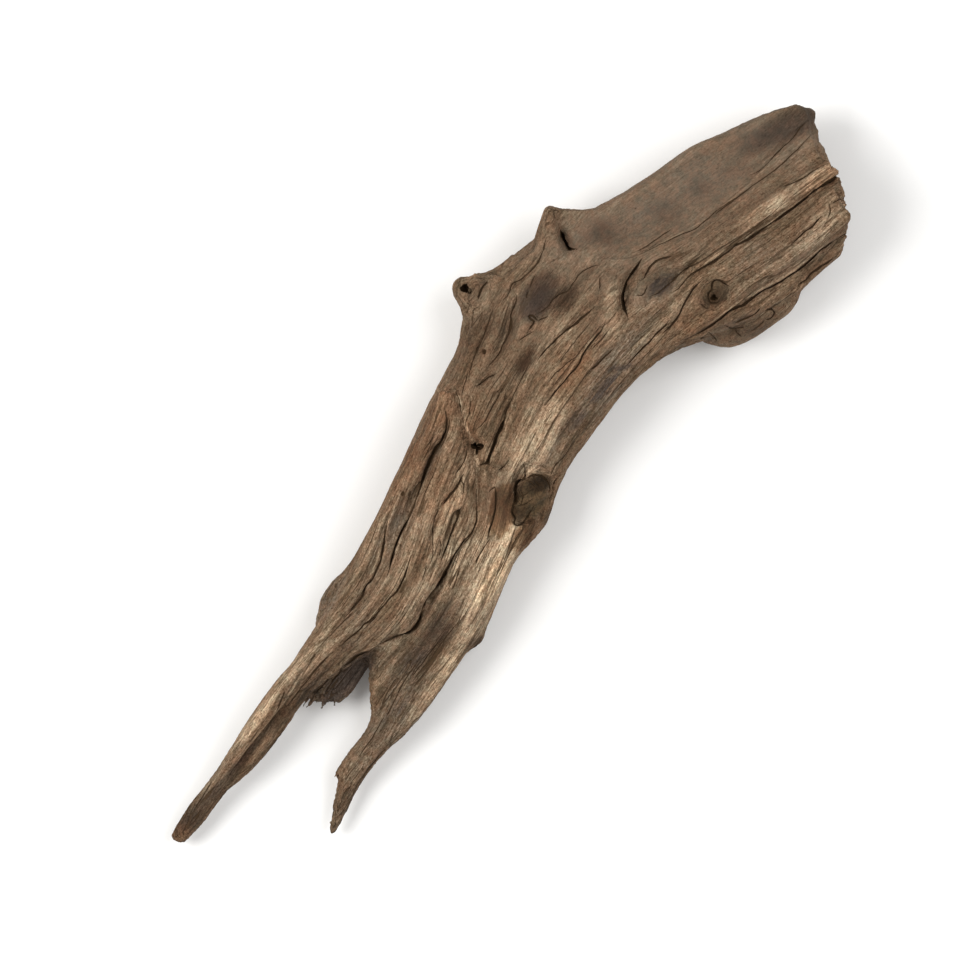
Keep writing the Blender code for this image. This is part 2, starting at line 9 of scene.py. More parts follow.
import bmesh
import bpy
import numpy as np
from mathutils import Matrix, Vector


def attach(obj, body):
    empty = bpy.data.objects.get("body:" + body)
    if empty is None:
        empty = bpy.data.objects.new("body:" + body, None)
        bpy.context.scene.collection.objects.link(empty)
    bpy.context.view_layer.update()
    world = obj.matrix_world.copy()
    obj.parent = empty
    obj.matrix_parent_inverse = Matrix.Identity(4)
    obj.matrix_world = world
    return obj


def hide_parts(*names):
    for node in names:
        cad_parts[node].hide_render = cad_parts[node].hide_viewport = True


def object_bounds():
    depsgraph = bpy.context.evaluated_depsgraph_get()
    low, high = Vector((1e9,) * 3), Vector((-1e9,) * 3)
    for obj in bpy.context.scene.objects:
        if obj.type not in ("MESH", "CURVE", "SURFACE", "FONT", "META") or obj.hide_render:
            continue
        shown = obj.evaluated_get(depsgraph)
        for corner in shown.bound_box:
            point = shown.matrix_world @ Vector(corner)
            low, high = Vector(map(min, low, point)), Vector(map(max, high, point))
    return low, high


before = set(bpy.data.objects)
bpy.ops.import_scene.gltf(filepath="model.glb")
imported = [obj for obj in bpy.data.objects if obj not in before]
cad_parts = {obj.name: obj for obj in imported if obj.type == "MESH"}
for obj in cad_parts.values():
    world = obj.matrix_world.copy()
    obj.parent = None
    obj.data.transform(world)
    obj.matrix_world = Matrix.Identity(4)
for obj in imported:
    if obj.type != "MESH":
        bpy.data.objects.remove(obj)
cad_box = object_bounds()

MM = 0.001
SHEET_SIDE = 960.0
UNIT_MM = 0.5
PLAN_TURN = math.radians(43.0)
TURN_COS, TURN_SIN = math.cos(PLAN_TURN), math.sin(PLAN_TURN)
PLAN_ORIGIN_MM = np.array([244.1445, 244.9362, 0.0])
HEEL_WAY = np.array([-0.66, -0.75])

FORM_VOXEL_MM, FORM_PASSES = 0.8, 5
SKIN_VOXEL_MM, SKIN_PASSES = 0.45, 2
SKIN_TRIANGLES = 195000
UNDERSIDE_THINNING = 0.02
JOIN_MM, BOX_GAP_MM = 0.005, 0.02
SEED = 7

# Kinds of split: half width, depth.
FINE, OPEN, WIDE, BROAD, GAPING = (0.19, 0.6), (0.31, 1.2), (0.5, 2.2), (0.72, 3.0), (0.95, 5.0)
# A split's groove in the mesh is at least this wide. The mesh stays finest within KEPT_MM of a split's edge, and
# the split's line fades out over LINE_FADE_MM. Further out the distance to it is still known, up to SPLIT_REACH_MM.
GROOVE_MM = 0.45
KEPT_MM = 0.55
LINE_FADE_MM = 0.7, 1.2
# Reach of the painted highlight along a step's raised edge, and the width of its lip.
EDGE_MM = 1.0
LIP_MM = 0.9
# Width of the painted shade at a step's foot, and the step heights over which it comes in.
FOOT_MM = 0.75
DARK_FOOT_RISE_MM = 1.5, 2.0
SPLIT_REACH_MM = 4.0

# How far a surface has to face up for each kind of relief: from none of it to all of it. 1 is level.
FACING = {"split": (-0.3, 0.0), "step": (0.02, 0.35), "ridge": (0.05, 0.4), "hole": (-0.2, 0.05), "knot": (0.02, 0.3),
          "top": (-0.25, 0.2), "straight down": (0.1, 0.45)}
# Share of a line's length over which its relief fades at each end.
SPLIT_ENDS, RELIEF_ENDS, FOOT_ENDS = 0.15, 0.2, 0.1
SPLIT_WANDER_MM, SPLIT_UNEVEN = 0.2, 0.4
# A step's low side, its high side with the reach of that, and its worn lip, as shares of its height and reach.
STEP_LOW, STEP_HIGH, STEP_HIGH_REACH, STEP_LIP = 0.6, 0.5, 2.4, 0.35
# Strength of the painted highlight on a step's raised edge and of the painted shade at its foot.
PAINTED_EDGE_HIGHLIGHT, FOOT_SHADE = 0.65, 0.9
# Holes wider than LARGE_HOLE on the sheet have a more uneven rim.
LARGE_HOLE, UNEVEN_RIM, EVEN_RIM = 2.95, 0.45, 0.1
KNOT_RING_MM, KNOT_CRUMB_MM, KNOT_PULL = 0.5, 0.3, 0.62
# Grain relief: how sharp its backs are, their level, and the height that the material takes as full.
BACK_GAIN, BACK_TOP, BACK_POWER, BACK_LEVEL, BACK_SPAN_MM = 2.4, 1.1, 0.75, 0.62, 1.05

# Splits that follow the grain. Each is a kind and then x, y, x, y and so on of a line on the sheet.
SPLITS = (
    # Along the edge of the scoop
    (FINE, 808,121, 800,128, 795,135, 790,141, 783,147, 775,155, 768,163, 760,170, 750,175), (FINE, 812,134, 795,152,
    775,170, 752,187, 730,204, 708,221), (FINE, 740,196, 725,206, 715,213, 705,222, 695,230, 680,236, 665,243, 650,250,
    640,255), (FINE, 670,230, 655,240, 645,247, 635,252),
    # The butt
    (FINE, 827,164, 818,168, 810,173, 800,180, 790,185, 780,188), (WIDE, 840,175, 825,184, 815,190, 805,198, 795,206,
    788,211, 780,217, 770,224), (OPEN, 780,217, 770,224, 760,231, 745,241, 735,246, 725,254, 715,261, 705,267, 690,275,
    682,285), (OPEN, 820,217, 815,222, 811,228, 804,232, 800,236, 790,245), (FINE, 828,204, 829,212, 827,218), (FINE,
    842,198, 831,204), (WIDE, 846,235, 838,240, 830,244, 820,251, 810,261, 800,269, 790,275, 780,282, 770,287, 760,292,
    750,300, 742,306, 730,311, 720,319, 712,325, 703,331, 687,339), (OPEN, 832,259, 822,266, 812,273, 805,280,
    797,286), (OPEN, 760,308, 754,314, 747,318, 735,323), (FINE, 735,330, 741,337), (OPEN, 765,311, 771,309, 774,313,
    771,318, 766,320), (FINE, 752,331, 759,326, 765,320), (FINE, 708,333, 713,336, 717,341), (FINE, 724,326, 733,329,
    744,327), (FINE, 707,335, 700,339),
    # Between the eye and the round knot
    (FINE, 695,265, 685,271, 677,277, 670,283, 662,290, 655,295, 650,297), (FINE, 717,261, 708,266, 700,270, 690,276,
    683,283, 678,289, 672,293), (OPEN, 700,282, 693,289, 688,297, 684,303, 681,310, 678,316, 673,323, 668,329,
    663,333), (OPEN, 668,322, 662,329, 655,335, 650,341, 643,347, 638,352, 632,359, 628,364),
    # The shoulder
    (FINE, 546,238, 544,246, 541,255, 538,262, 532,269, 527,274, 520,280, 513,284, 510,290, 508,296, 504,300, 501,305),
    (FINE, 516,292, 516,300, 514,307, 511,315, 510,325, 509,332, 507,338, 503,345, 500,352, 496,358, 490,365, 487,370),
    (FINE, 512,318, 511,328, 508,337), (FINE, 494,305, 491,315, 489,322, 486,330, 482,340, 478,348, 475,356, 472,364,
    470,372, 469,380), (FINE, 468,372, 466,380, 464,388, 463,395), (FINE, 535,276, 532,282, 530,288), (FINE, 528,292,
    526,299), (OPEN, 594,308, 587,314, 580,320, 572,327, 565,332, 559,337, 553,343, 546,350, 541,356, 537,362), (OPEN,
    604,325, 601,331, 596,337, 590,344, 586,350, 582,356, 580,362, 576,368, 571,373, 565,380, 559,387, 552,396,
    545,405), (FINE, 608,331, 602,339, 595,346, 592,349), (FINE, 575,357, 567,363, 560,370, 555,374, 548,383), (OPEN,
    495,375, 488,378, 483,382, 477,386), (FINE, 613,349, 605,357, 598,364, 590,371, 584,378), (OPEN, 488,281, 483,287,
    480,293, 478,300),
    # The middle
    (WIDE, 446,412, 447,425, 444,436, 441,442, 435,451, 429,464, 423,480, 418,496, 412,513, 405,525, 399,538, 395,549,
    392,558, 390,568, 387,576), (FINE, 424,474, 421,483, 419,492, 417,500), (FINE, 450,418, 449,428, 446,438, 441,449),
    (FINE, 388,520, 386,532, 384,545, 381,556), (FINE, 455,393, 456,400, 458,408, 459,414), (FINE, 527,368, 520,382,
    513,396, 507,410, 502,424), (BROAD, 505,418, 502,425, 497,435, 494,444, 491,452, 487,462, 480,465), (FINE, 505,385,
    500,393, 495,403, 489,413, 486,420, 480,427, 475,430), (FINE, 471,400, 470,415), (FINE, 467,450, 465,458, 461,467,
    456,474), (FINE, 467,452, 465,459, 461,466, 457,473), (OPEN, 463,475, 460,481, 457,487, 452,493, 447,499, 444,503),
    (FINE, 439,505, 437,513, 434,521, 433,530, 433,540, 433,552, 431,560), (FINE, 426,563, 424,572, 421,580), (OPEN,
    461,508, 458,517, 454,526, 450,535, 447,543, 444,551, 441,560), (FINE, 460,478, 464,486, 463,495), (FINE, 476,486,
    475,497, 476,510, 477,518), (FINE, 440,540, 441,548, 439,556),
    # The long split between the strand and the blade
    (OPEN, 477,508, 477,518, 475,526, 470,534, 462,541, 457,549, 451,560, 445,570, 441,578), (BROAD, 468,536, 462,541,
    457,549, 451,560, 445,570, 441,578, 437,585, 430,594, 425,602, 421,612, 418,619, 414,626, 411,629, 405,633,
    400,635, 393,637, 388,640, 382,644, 378,647), (WIDE, 388,640, 382,644, 378,647, 370,651, 360,654, 352,660,
    345,666), (WIDE, 449,567, 443,576, 437,585, 431,594, 426,603, 421,612, 417,621),
    # The lower part
    (OPEN, 385,525, 385,540, 383,550, 380,562, 376,572, 372,580, 366,586, 362,596, 355,605, 350,612, 345,617), (OPEN,
    411,556, 408,567, 404,577, 400,586, 396,592, 390,598, 385,604, 378,612, 372,619, 365,624, 358,631, 350,638,
    342,645), (FINE, 490,538, 484,548, 478,558, 475,568), (FINE, 460,565, 456,580, 452,590),
    # The heel and the tines
    (FINE, 352,668, 343,679, 334,691), (FINE, 343,668, 333,680, 325,693), (FINE, 332,675, 322,686, 314,695), (FINE,
    358,672, 350,682, 345,690), (FINE, 330,655, 322,662, 312,674, 306,684), (FINE, 213,780, 204,794, 194,810), (FINE,
    440,640, 425,660, 412,678), (FINE, 455,625, 440,645, 430,660), (FINE, 372,700, 366,722, 352,745), (FINE, 285,690,
    282,697, 275,710), (FINE, 330,655, 315,672, 300,690, 288,705), (FINE, 262,728, 250,745, 238,760), (FINE, 420,660,
    405,680, 395,700, 385,720), (FINE, 385,715, 372,738, 358,758),
)

# Splits that bend round knots or cross the grain.
KNOT_SPLITS = (
    (WIDE, 641,260, 637,266, 632,272, 627,280, 624,288, 622,296, 622,302, 623,308, 626,314, 627,317), (OPEN, 670,258,
    660,260, 655,263, 650,268, 646,274, 643,280), (FINE, 647,286, 645,292, 641,296, 636,296), (OPEN, 729,287, 724,284,
    718,281, 713,281, 711,285, 711,290, 708,293, 707,297, 709,302, 712,304, 717,303, 719,299), (FINE, 700,305,
    706,309), (FINE, 548,317, 543,319, 538,321), (OPEN, 538,321, 532,316, 529,317, 531,320, 534,322, 532,326, 528,331),
    (FINE, 533,332, 528,335, 523,338, 519,341), (FINE, 600,265, 592,267, 584,271, 579,275, 575,281, 571,287, 568,291,
    560,295, 553,300, 549,306, 543,311, 536,315), (FINE, 600,278, 599,290), (GAPING, 560,231, 562,237, 565,243,
    569,249, 575,250), (OPEN, 524,465, 525,472, 524,478, 519,481, 516,488, 516,495, 517,500, 513,505, 512,513, 515,518,
    514,524, 520,525, 525,520, 530,512, 534,505), (OPEN, 525,478, 535,475, 545,478, 549,485, 550,491), (BROAD, 523,479,
    518,482, 515,487, 515,493, 516,499, 514,504), (FINE, 521,491, 523,497, 521,504), (OPEN, 495,487, 496,500, 495,510,
    493,520, 490,528, 488,537), (FINE, 489,492, 492,489, 495,487), (FINE, 526,480, 532,483, 537,488), (FINE, 533,474,
    536,482, 541,486), (FINE, 519,497, 525,495, 529,491), (FINE, 518,506, 526,503, 531,499), (FINE, 498,470, 505,465,
    509,460), (FINE, 570,448, 563,458, 556,464, 552,472, 550,477), (WIDE, 470,440, 475,445, 482,445, 478,450, 476,455),
)

# Ridges: height, half width, then the line.
RIDGES = (
    (1.0, 3.0, 550,212, 551,222, 554,232, 558,240, 562,247, 575,252, 601,257), (0.9, 3.0, 837,185, 822,196, 800,212,
    775,230, 740,252), (0.9, 3.0, 840,222, 820,232, 800,248, 770,268), (1.2, 3.5, 453,385, 456,395, 459,405, 463,415,
    468,428, 472,440, 476,450, 478,460), (0.9, 1.6, 478,466, 485,467, 490,470, 500,474), (1.0, 1.6, 439,399, 442,394,
    447,391, 452,391, 457,395, 460,403, 461,409), (0.9, 2.4, 434,396, 440,388, 448,385, 456,387, 462,394, 465,404,
    467,414), (0.8, 3.0, 600,262, 606,280, 610,300, 620,325, 630,350), (0.7, 2.4, 340,622, 310,655, 285,690, 262,722,
    240,752, 210,795),
)

# Steps: height, reach, side that stands up (1 for the left side as the line runs, seen on the wood), the line.
STEPS = (
    (2.4, 4.5, -1, 477,518, 470,535, 457,550, 445,570, 437,585, 425,602, 416,625, 400,635, 382,644, 360,654, 345,666),
    (2.0, 3.5, 1, 446,412, 446,432, 436,451, 425,476, 416,500, 406,525, 395,549, 388,573), (0.9, 3.0, -1, 453,385,
    459,405, 468,428, 476,450, 478,470, 478,500, 475,525), (1.0, 4.0, -1, 840,175, 825,184, 805,198, 780,217, 752,236,
    725,254, 690,275), (0.9, 4.0, -1, 846,235, 820,251, 790,275, 760,292, 730,311, 703,331, 687,339), (0.9, 3.5, 1,
    812,121, 790,141, 768,163, 740,190, 705,218, 665,240, 630,258, 602,258, 575,252), (1.0, 2.6, -1, 641,260, 632,272,
    624,288, 622,302, 627,317), (0.8, 2.4, -1, 524,465, 524,478, 516,488, 517,500, 512,513, 520,525), (0.7, 2.6, -1,
    504,418, 494,444, 484,464), (0.35, 3.0, -1, 594,308, 565,332, 537,362), (0.35, 3.0, -1, 604,325, 582,356, 565,380,
    545,405), (0.35, 3.0, -1, 516,292, 510,325, 500,352, 487,370), (0.45, 2.0, 1, 461,508, 450,535, 441,560), (0.4,
    2.0, 1, 463,475, 452,493, 444,503), (0.8, 3.0, -1, 385,525, 380,562, 366,586, 345,617), (0.8, 3.0, -1, 411,556,
    396,592, 372,619, 342,645), (1.5, 4.5, -1, 330,650, 305,676, 281,708, 250,745, 215,793),
)

# Holes: centre, radius on the sheet, depth.
HOLES = (
    (483, 352, 2.9, 3.0), (403, 494, 2.9, 0.8), (464, 289, 3.2, 5.0), (469, 291, 2.4, 4.0), (713, 299, 3.2, 4.0),
    (474, 446, 4.0, 3.6), (480, 447, 3.0, 3.6),
)

# Splinters: a broken edge on the sheet, its height, how many stand out of it, their length, their way on the sheet.
FRAYS = (
    ((308,694, 315,697, 324,698, 333,696, 341,694), 13.0, 17, 6.5, (-0.35, 0.93)),
    ((345,692, 354,680, 362,670), 13.5, 5, 3.0, (0.1, 0.99)),
    ((306,694, 318,698), 12.5, 7, 8.5, (-0.6, 0.78)),
    ((175,832, 180,837, 187,834), 10.0, 8, 3.0, (-0.75, 0.66)),
    ((331,826, 334,827), 10.5, 2, 2.4, (-0.15, 0.99)),
)
SPLINTER_RADII = 0.85, 0.38
# Single spikes: root and tip on the sheet, each with its height.
SPIKES = (
    ((352, 750), 16.0, (334, 778), 14.5), ((346, 760), 15.0, (337, 780), 13.0), ((470, 281), 36.0, (475, 273), 37.5),
    ((484, 283), 37.0, (476, 274), 38.0),
)

# Knots: centre, half length, half width, the turn of its long side from the x axis, how far it stands up, stain.
KNOTS = (
    (530, 498, 27.0, 16.0, 58.0, 0.5, 1.0),
    (714, 293, 13.0, 11.0, 30.0, 0.4, 0.8),
    (656, 284, 26.0, 12.0, 35.0, -0.3, 0.25),
    (466, 289, 11.0, 10.0, 0.0, 0.2, 0.3),
)

# Soft spots of tone, some of them painted shade and painted light as marked: centre, half length, half width, turn
# of the long side, strength.
DARK_SPOTS = (
    (690,195, 150, 34, 33, 0.5), (610,232, 60, 18, 15, 0.6), (538,298, 26, 17, 60, 1.35), (785,128, 60, 17, 33, 0.9),
    (565,300, 24, 14, 45, 1.0), (525,360, 24, 10, 60, 0.85), (735,330, 42, 14, 20, 0.55), (500,330, 70, 30, 64, 0.58),
    # (400, 512) and (428, 470): dark grey wood, partly painted shade in the valley left of the strand
    (400,512, 60, 6, 64, 0.3), (428,470, 40, 6, 64, 0.5), (500,508, 26, 15, 80, 0.3), (560,225, 20, 20, 0, 0.35),
    # (325, 690): the stub's dark wood, partly painted shade where the left tine shades it
    (325,690, 26, 20, 45, 0.3), (347,680, 34, 12, 48, 1.25), (327,598, 26, 12, 60, 0.4), (477,645, 14, 10, 50, 0.9),
    # (292, 706), (232, 774) and (195, 815): painted shade on the left tine's lower-right face, turned from the light
    (430,637, 50, 16, 52, 0.78), (480,283, 28, 12, 20, 0.5), (292,706, 60, 9, 48, 0.75), (232,774, 60, 8, 50, 0.8),
    (195,815, 30, 9, 50, 0.95), (601,391, 26, 7, 50, 0.9), (577,420, 24, 7, 52, 0.85), (620,368, 14, 4, 12, 0.8),
    (750,303, 50, 7, 35, 0.5), (800,268, 45, 6, 38, 0.4), (395,705, 50, 14, 60, 0.4), (520,540, 36, 9, 60, 0.5),
    (470,395, 40, 8, 65, 0.3), (350,645, 30, 6, 45, 0.5), (548,515, 14, 8, 60, 0.6), (345,800, 30, 8, 65, 0.45),
    (470,340, 50, 14, 64, 0.55), (662,285, 20, 9, 35, 0.85), (715,295, 17, 14, 30, 0.8), (538,484, 15, 8, 15, 1.15),
    (520,490, 9, 7, 80, 0.9), (522,512, 14, 8, 75, 0.7), (560,225, 26, 14, 70, 0.45), (300,668, 60, 12, 48, 0.2),
)
LIGHT_SPOTS = (
    (822,176, 24, 8, 38, 1.1), (820,228, 40, 14, 38, 0.6), (770,205, 70, 12, 36, 0.1), (613,300, 36, 12, 80, 0.5),
    (700,240, 70, 10, 32, 0.2), (545,430, 40, 18, 60, 0.7), (463,416, 30, 2.4, 110, 1.1), (476,455, 20, 2.4, 98, 0.9),
    (492,577, 54, 15, 63, 1.5), (475,625, 40, 10, 58, 0.9), (465,420, 45, 8, 65, 0.3), (455,500, 60, 14, 65, 0.55),
    (372,600, 70, 16, 52, 0.3), (372,545, 60, 12, 64, 0.35), (305,660, 60, 8, 50, 0.5), (425,700, 50, 7, 52, 0.6),
    # (255, 722) and (215, 775): painted light on the lit upper-left strip of the left tine
    (560,350, 50, 20, 55, 0.4), (430,570, 50, 14, 60, 0.45), (255,722, 50, 5, 54, 0.75), (215,775, 40, 4, 52, 0.4),
    (400,640, 40, 8, 40, 0.5), (335,635, 40, 10, 48, 0.4), (410,600, 50, 12, 52, 0.5), (650,340, 50, 8, 45, 0.4),
    (470,555, 60, 34, 62, 0.6), (525,450, 50, 24, 60, 0.6), (440,520, 50, 20, 66, 0.42), (400,575, 50, 20, 58, 0.35),
    (790,195, 60, 10, 36, 0.5), (442,672, 44, 9, 52, 0.7), (498,556, 22, 18, 62, 0.9), (403,500, 60, 10, 64, 0.35),
)
GREY_SPOTS = (
    (610,368, 60, 14, 50, 0.9), (565,430, 40, 14, 55, 0.7), (400,512, 70, 14, 64, 0.6), (250,740, 110, 12, 50, 0.4),
    (390,720, 90, 22, 58, 0.8), (340,650, 60, 20, 50, 0.4), (760,260, 90, 24, 35, 0.3), (450,620, 80, 24, 56, 0.4),
    (598,396, 60, 13, 49, 1.0), (345,681, 32, 14, 48, 0.9), (662,285, 26, 12, 35, 0.7), (400,470, 70, 14, 64, 0.2),
    (325,690, 30, 22, 45, 0.7), (327,598, 26, 12, 60, 0.9), (538,298, 26, 16, 60, 0.4), (690,190, 150, 34, 33, 0.3),
    (370,590, 60, 14, 56, 0.5),
)
# Where the brown is redder.
WARM_SPOTS = (
    (420,450, 70, 14, 64, 0.9), (575,372, 50, 16, 55, 0.6), (499,507, 34, 16, 85, 0.45), (180,832, 12, 9, 50, 1.0),
    (526,532, 20, 12, 55, 0.45), (470,425, 40, 12, 65, 0.5), (700,320, 50, 14, 38, 0.4), (250,745, 60, 8, 50, 0.4),
    (825,178, 26, 9, 38, 0.9), (740,205, 30, 14, 33, 0.5), (440,500, 40, 20, 66, 0.6),
)
# Brown stains with a clear edge.
MARKS = (
    (502,509, 30, 14.5, 80, 1.0), (523,535, 19, 9, 55, 0.85), (540,298, 15, 9, 65, 0.55), (524,360, 13, 7, 60, 0.5),
    (570,300, 12, 7, 40, 0.4),
)
SMOOTH_SPOTS = (
    (690,190, 180, 44, 33, 1.0), (600,230, 60, 24, 15, 1.0), (538,298, 30, 22, 60, 0.8), (520,340, 60, 30, 60, 0.4),
    (735,330, 40, 16, 20, 0.5), (600,310, 50, 24, 70, 0.3), (500,508, 24, 14, 84, 0.8), (655,284, 30, 14, 35, 0.8),
    (480,290, 30, 14, 20, 0.4),
)
# What each set of soft spots makes: how much drift is added, its scale and shift, how much of it the sides of the
# wood have, and the most that there can be.
ZONES = {
    "smooth": (SMOOTH_SPOTS, 0.21, 14.0, 0, 0, 1), "dark": (DARK_SPOTS, 0.175, 14.0, 0, 0.25, 1.5),
    "light": (LIGHT_SPOTS, 0.175, 14.0, 0, 0.15, 1.6), "grey": (GREY_SPOTS, 0.42, 23.0, 9, 0.3, 1),
    "warm": (WARM_SPOTS, 0.35, 19.0, 41, 0, 1),
}

# Layers of grain: length, width, height of the relief, share of it left on smooth wood.
GRAIN_LAYERS = (
    (190.0, 8.0, 0.46, 0.3), (100.0, 3.8, 0.34, 0.14), (45.0, 2.0, 0.27, 0.08), (12.0, 1.1, 0.2, 0.1),
)
# Layers of small splits: length, spacing, width, depth, how little of the wood has them.
SPLIT_LAYERS = (
    (150.0, 8.0, 0.07, 1.3, 0.12), (100.0, 4.5, 0.12, 0.7, 0.1),
)
SMALL_SPLIT_SHADE = 0.3
# What is kept on the mesh for the material, up to three values in one vector.
KEPT_MASKS = {"tone_and_painted_light": ("dark", "light", "grey"), "shade_grain_and_knots": ("split", "back", "knot"),
              "zone": ("smooth", "offset", "width"), "brown": ("warm", "mark")}

# The grain is worked out on a grid: its step, how near splits count most, how far levels are averaged in steps,
# and the depth of grain from the middle of the wood to its surface.
FIELD_STEP_MM = 3.0
FIELD_REACH_MM = 9.0
LEVEL_REACH = 3
GRAIN_HALF_MM = 16.0


def sheet_to_plan(points):
    """From the sheet to millimetres, x to the right and y up."""
    points = np.array(points, float)
    return np.stack([points[..., 0], SHEET_SIDE - points[..., 1]], -1) * UNIT_MM


def turn_to_plan(vectors):
    x, y, z = vectors.T
    return np.stack([x * TURN_COS - y * TURN_SIN, x * TURN_SIN + y * TURN_COS, z], 1)


def part_to_plan(points):
    return turn_to_plan(points / MM) + PLAN_ORIGIN_MM


def plan_to_part(points):
    x, y, z = (points - PLAN_ORIGIN_MM).T
    return np.stack([x * TURN_COS + y * TURN_SIN, y * TURN_COS - x * TURN_SIN, z], 1) * MM


def zeros(points):
    return np.zeros(len(points))


def ease(value, low, high):
    t = np.clip((value - low) / (high - low), 0, 1)
    return t * t * (3 - 2 * t)


class Noise:
    """Gradient noise between about -1 and 1."""

    SIZE = 1024

    def __init__(self, seed):
        random = np.random.RandomState(seed)
        self.order = random.permutation(self.SIZE)
        ways = random.normal(size=(self.SIZE, 3))
        self.ways = (ways / np.linalg.norm(ways, axis=1)[:, None]).astype(np.float32)

    def __call__(self, points):
        base = np.floor(points).astype(np.int64)
        part = (points - base).astype(np.float32)
        eased = part * part * part * (part * (part * 6 - 15) + 10)
        total = np.zeros(len(points), np.float32)
        for corner in np.ndindex(2, 2, 2):
            at = base + corner
            index = self.order[at[:, 0] % self.SIZE]
            index = self.order[(index + at[:, 1]) % self.SIZE]
            index = self.order[(index + at[:, 2]) % self.SIZE]
            weight = np.ones(len(points), np.float32)
            for axis, side in enumerate(corner):
                weight *= eased[:, axis] if side else 1 - eased[:, axis]
            total += weight * np.einsum("ij,ij->i", self.ways[index], part - np.array(corner, np.float32))
        return total * 1.6


def curve_through(line, step=1.0):
    """Points about a step apart on a smooth curve through the line x, y, x, y, in millimetres."""
    line = sheet_to_plan(np.reshape(line, (-1, 2)))
    padded = np.vstack([2 * line[0] - line[1], line, 2 * line[-1] - line[-2]])
    found = []
    for a, b, c, d in zip(padded, padded[1:], padded[2:], padded[3:]):
        count = max(1, int(round(np.linalg.norm(c - b) / step)))
        for t in np.arange(count) / count:
            found.append(0.5 * (2 * b + (c - a) * t + (2 * a - 5 * b + 4 * c - d) * t**2
                                + (3 * b - a - 3 * c + d) * t**3))
    return np.array(found + [line[-1]])


def ends_fade(share, ends):
    return ease(share, 0, ends) * ease(1 - share, 0, ends)


def facing(up, kind):
    return ease(up, *FACING[kind])


def near_curve(points, curve, reach):
    """Which points are within reach of the curve in plan, how far to its left each is, and its share of the way."""
    low, high = curve.min(0) - reach, curve.max(0) + reach
    flat = points[:, :2]
    chosen = np.where(((flat > low) & (flat < high)).all(axis=1))[0]
    flat = flat[chosen]
    ways = np.diff(curve, axis=0)
    lengths = np.linalg.norm(ways, axis=1)
    starts = np.concatenate([[0.0], np.cumsum(lengths)])
    nearest = np.full(len(flat), np.inf)
    side = np.ones(len(flat))
    along = np.zeros(len(flat))
    for a, way, length, start in zip(curve, ways, lengths, starts):
        offset = flat - a
        t = np.clip(offset @ way / length**2, 0, 1)
        away = np.hypot(offset[:, 0] - t * way[0], offset[:, 1] - t * way[1])
        nearer = away < nearest
        nearest[nearer] = away[nearer]
        side[nearer] = np.where(way[0] * offset[nearer, 1] > way[1] * offset[nearer, 0], 1, -1)
        along[nearer] = start + t[nearer] * length
    kept = nearest < reach
    return chosen[kept], (nearest * side)[kept], along[kept] / starts[-1]


def grain_directions(grid):
    """The way that the grain runs at each point of a grid, read from the splits round it."""
    middles, ways = [], []
    for _, *line in SPLITS:
        curve = curve_through(line, 4.0)
        middles.append((curve[1:] + curve[:-1]) / 2)
        ways.append(np.diff(curve, axis=0))
    middles, ways = np.vstack(middles), np.vstack(ways)
    ways[ways @ HEEL_WAY < 0] *= -1
    found = np.zeros((len(grid), 2))
    for middle, way in zip(middles, ways):
        away = np.hypot(grid[:, 0] - middle[0], grid[:, 1] - middle[1])
        found += np.outer(1 / (away**2 + FIELD_REACH_MM**2) ** 1.5, way)
    return found / np.linalg.norm(found, axis=1)[:, None]


def fitted_field(way, across, along_weight, across_weight, along_slope, across_slope, count, passes=900):
    """A field on the grid whose slopes along and across the grain come as near as they can to those given."""
    def slopes(field):
        corner = (field[:-1, :-1], field[1:, :-1], field[:-1, 1:], field[1:, 1:])
        x = (corner[1] + corner[3] - corner[0] - corner[2]) / (2 * FIELD_STEP_MM)
        y = (corner[2] + corner[3] - corner[0] - corner[1]) / (2 * FIELD_STEP_MM)
        twist = (corner[0] + corner[3] - corner[1] - corner[2]) / FIELD_STEP_MM
        return x, y, twist

    def spread(x, y, twist):
        field = np.zeros((count, count))
        x, y, twist = x / (2 * FIELD_STEP_MM), y / (2 * FIELD_STEP_MM), twist / FIELD_STEP_MM
        field[:-1, :-1] += -x - y + twist
        field[1:, :-1] += x - y - twist
        field[:-1, 1:] += -x + y - twist
        field[1:, 1:] += x + y + twist
        return field

    def weighed(x, y):
        along = along_weight * (x * way[0] + y * way[1])
        over = across_weight * (x * across[0] + y * across[1])
        return along * way[0] + over * across[0], along * way[1] + over * across[1]

    def operate(field):
        x, y, twist = slopes(field)
        return spread(*weighed(x, y), 0.2 * twist) + 1e-7 * field

    wanted = (along_slope * way[0] + across_slope * across[0], along_slope * way[1] + across_slope * across[1])
    target = spread(*weighed(*wanted), np.zeros_like(wanted[0]))
    field = np.zeros((count, count))
    left = target.copy()
    step = left.copy()
    size = (left * left).sum()
    for _ in range(passes):
        moved = operate(step)
        share = size / (step * moved).sum()
        field += share * step
        left -= share * moved
        fresh = (left * left).sum()
        if fresh < 1e-10 * (target * target).sum():
            break
        step = left + fresh / size * step
        size = fresh
    return field


def grain_fields():
    """Two grids in plan: how far along the grain each point lies, and how far across it, in millimetres."""
    count = int(SHEET_SIDE * UNIT_MM / FIELD_STEP_MM) + 1
    ticks = (np.arange(count - 1) + 0.5) * FIELD_STEP_MM
    x, y = np.meshgrid(ticks, ticks, indexing="ij")
    ways = grain_directions(np.stack([x.ravel(), y.ravel()], 1)).reshape(count - 1, count - 1, 2)
    way = ways[..., 0], ways[..., 1]
    across = -way[1], way[0]
    along_field = fitted_field(way, across, 1.0, 0.3, 1.0, 0.0, count)
    across_field = fitted_field(way, across, 12.0, 1.0, 0.0, 1.0, count)
    return along_field, across_field


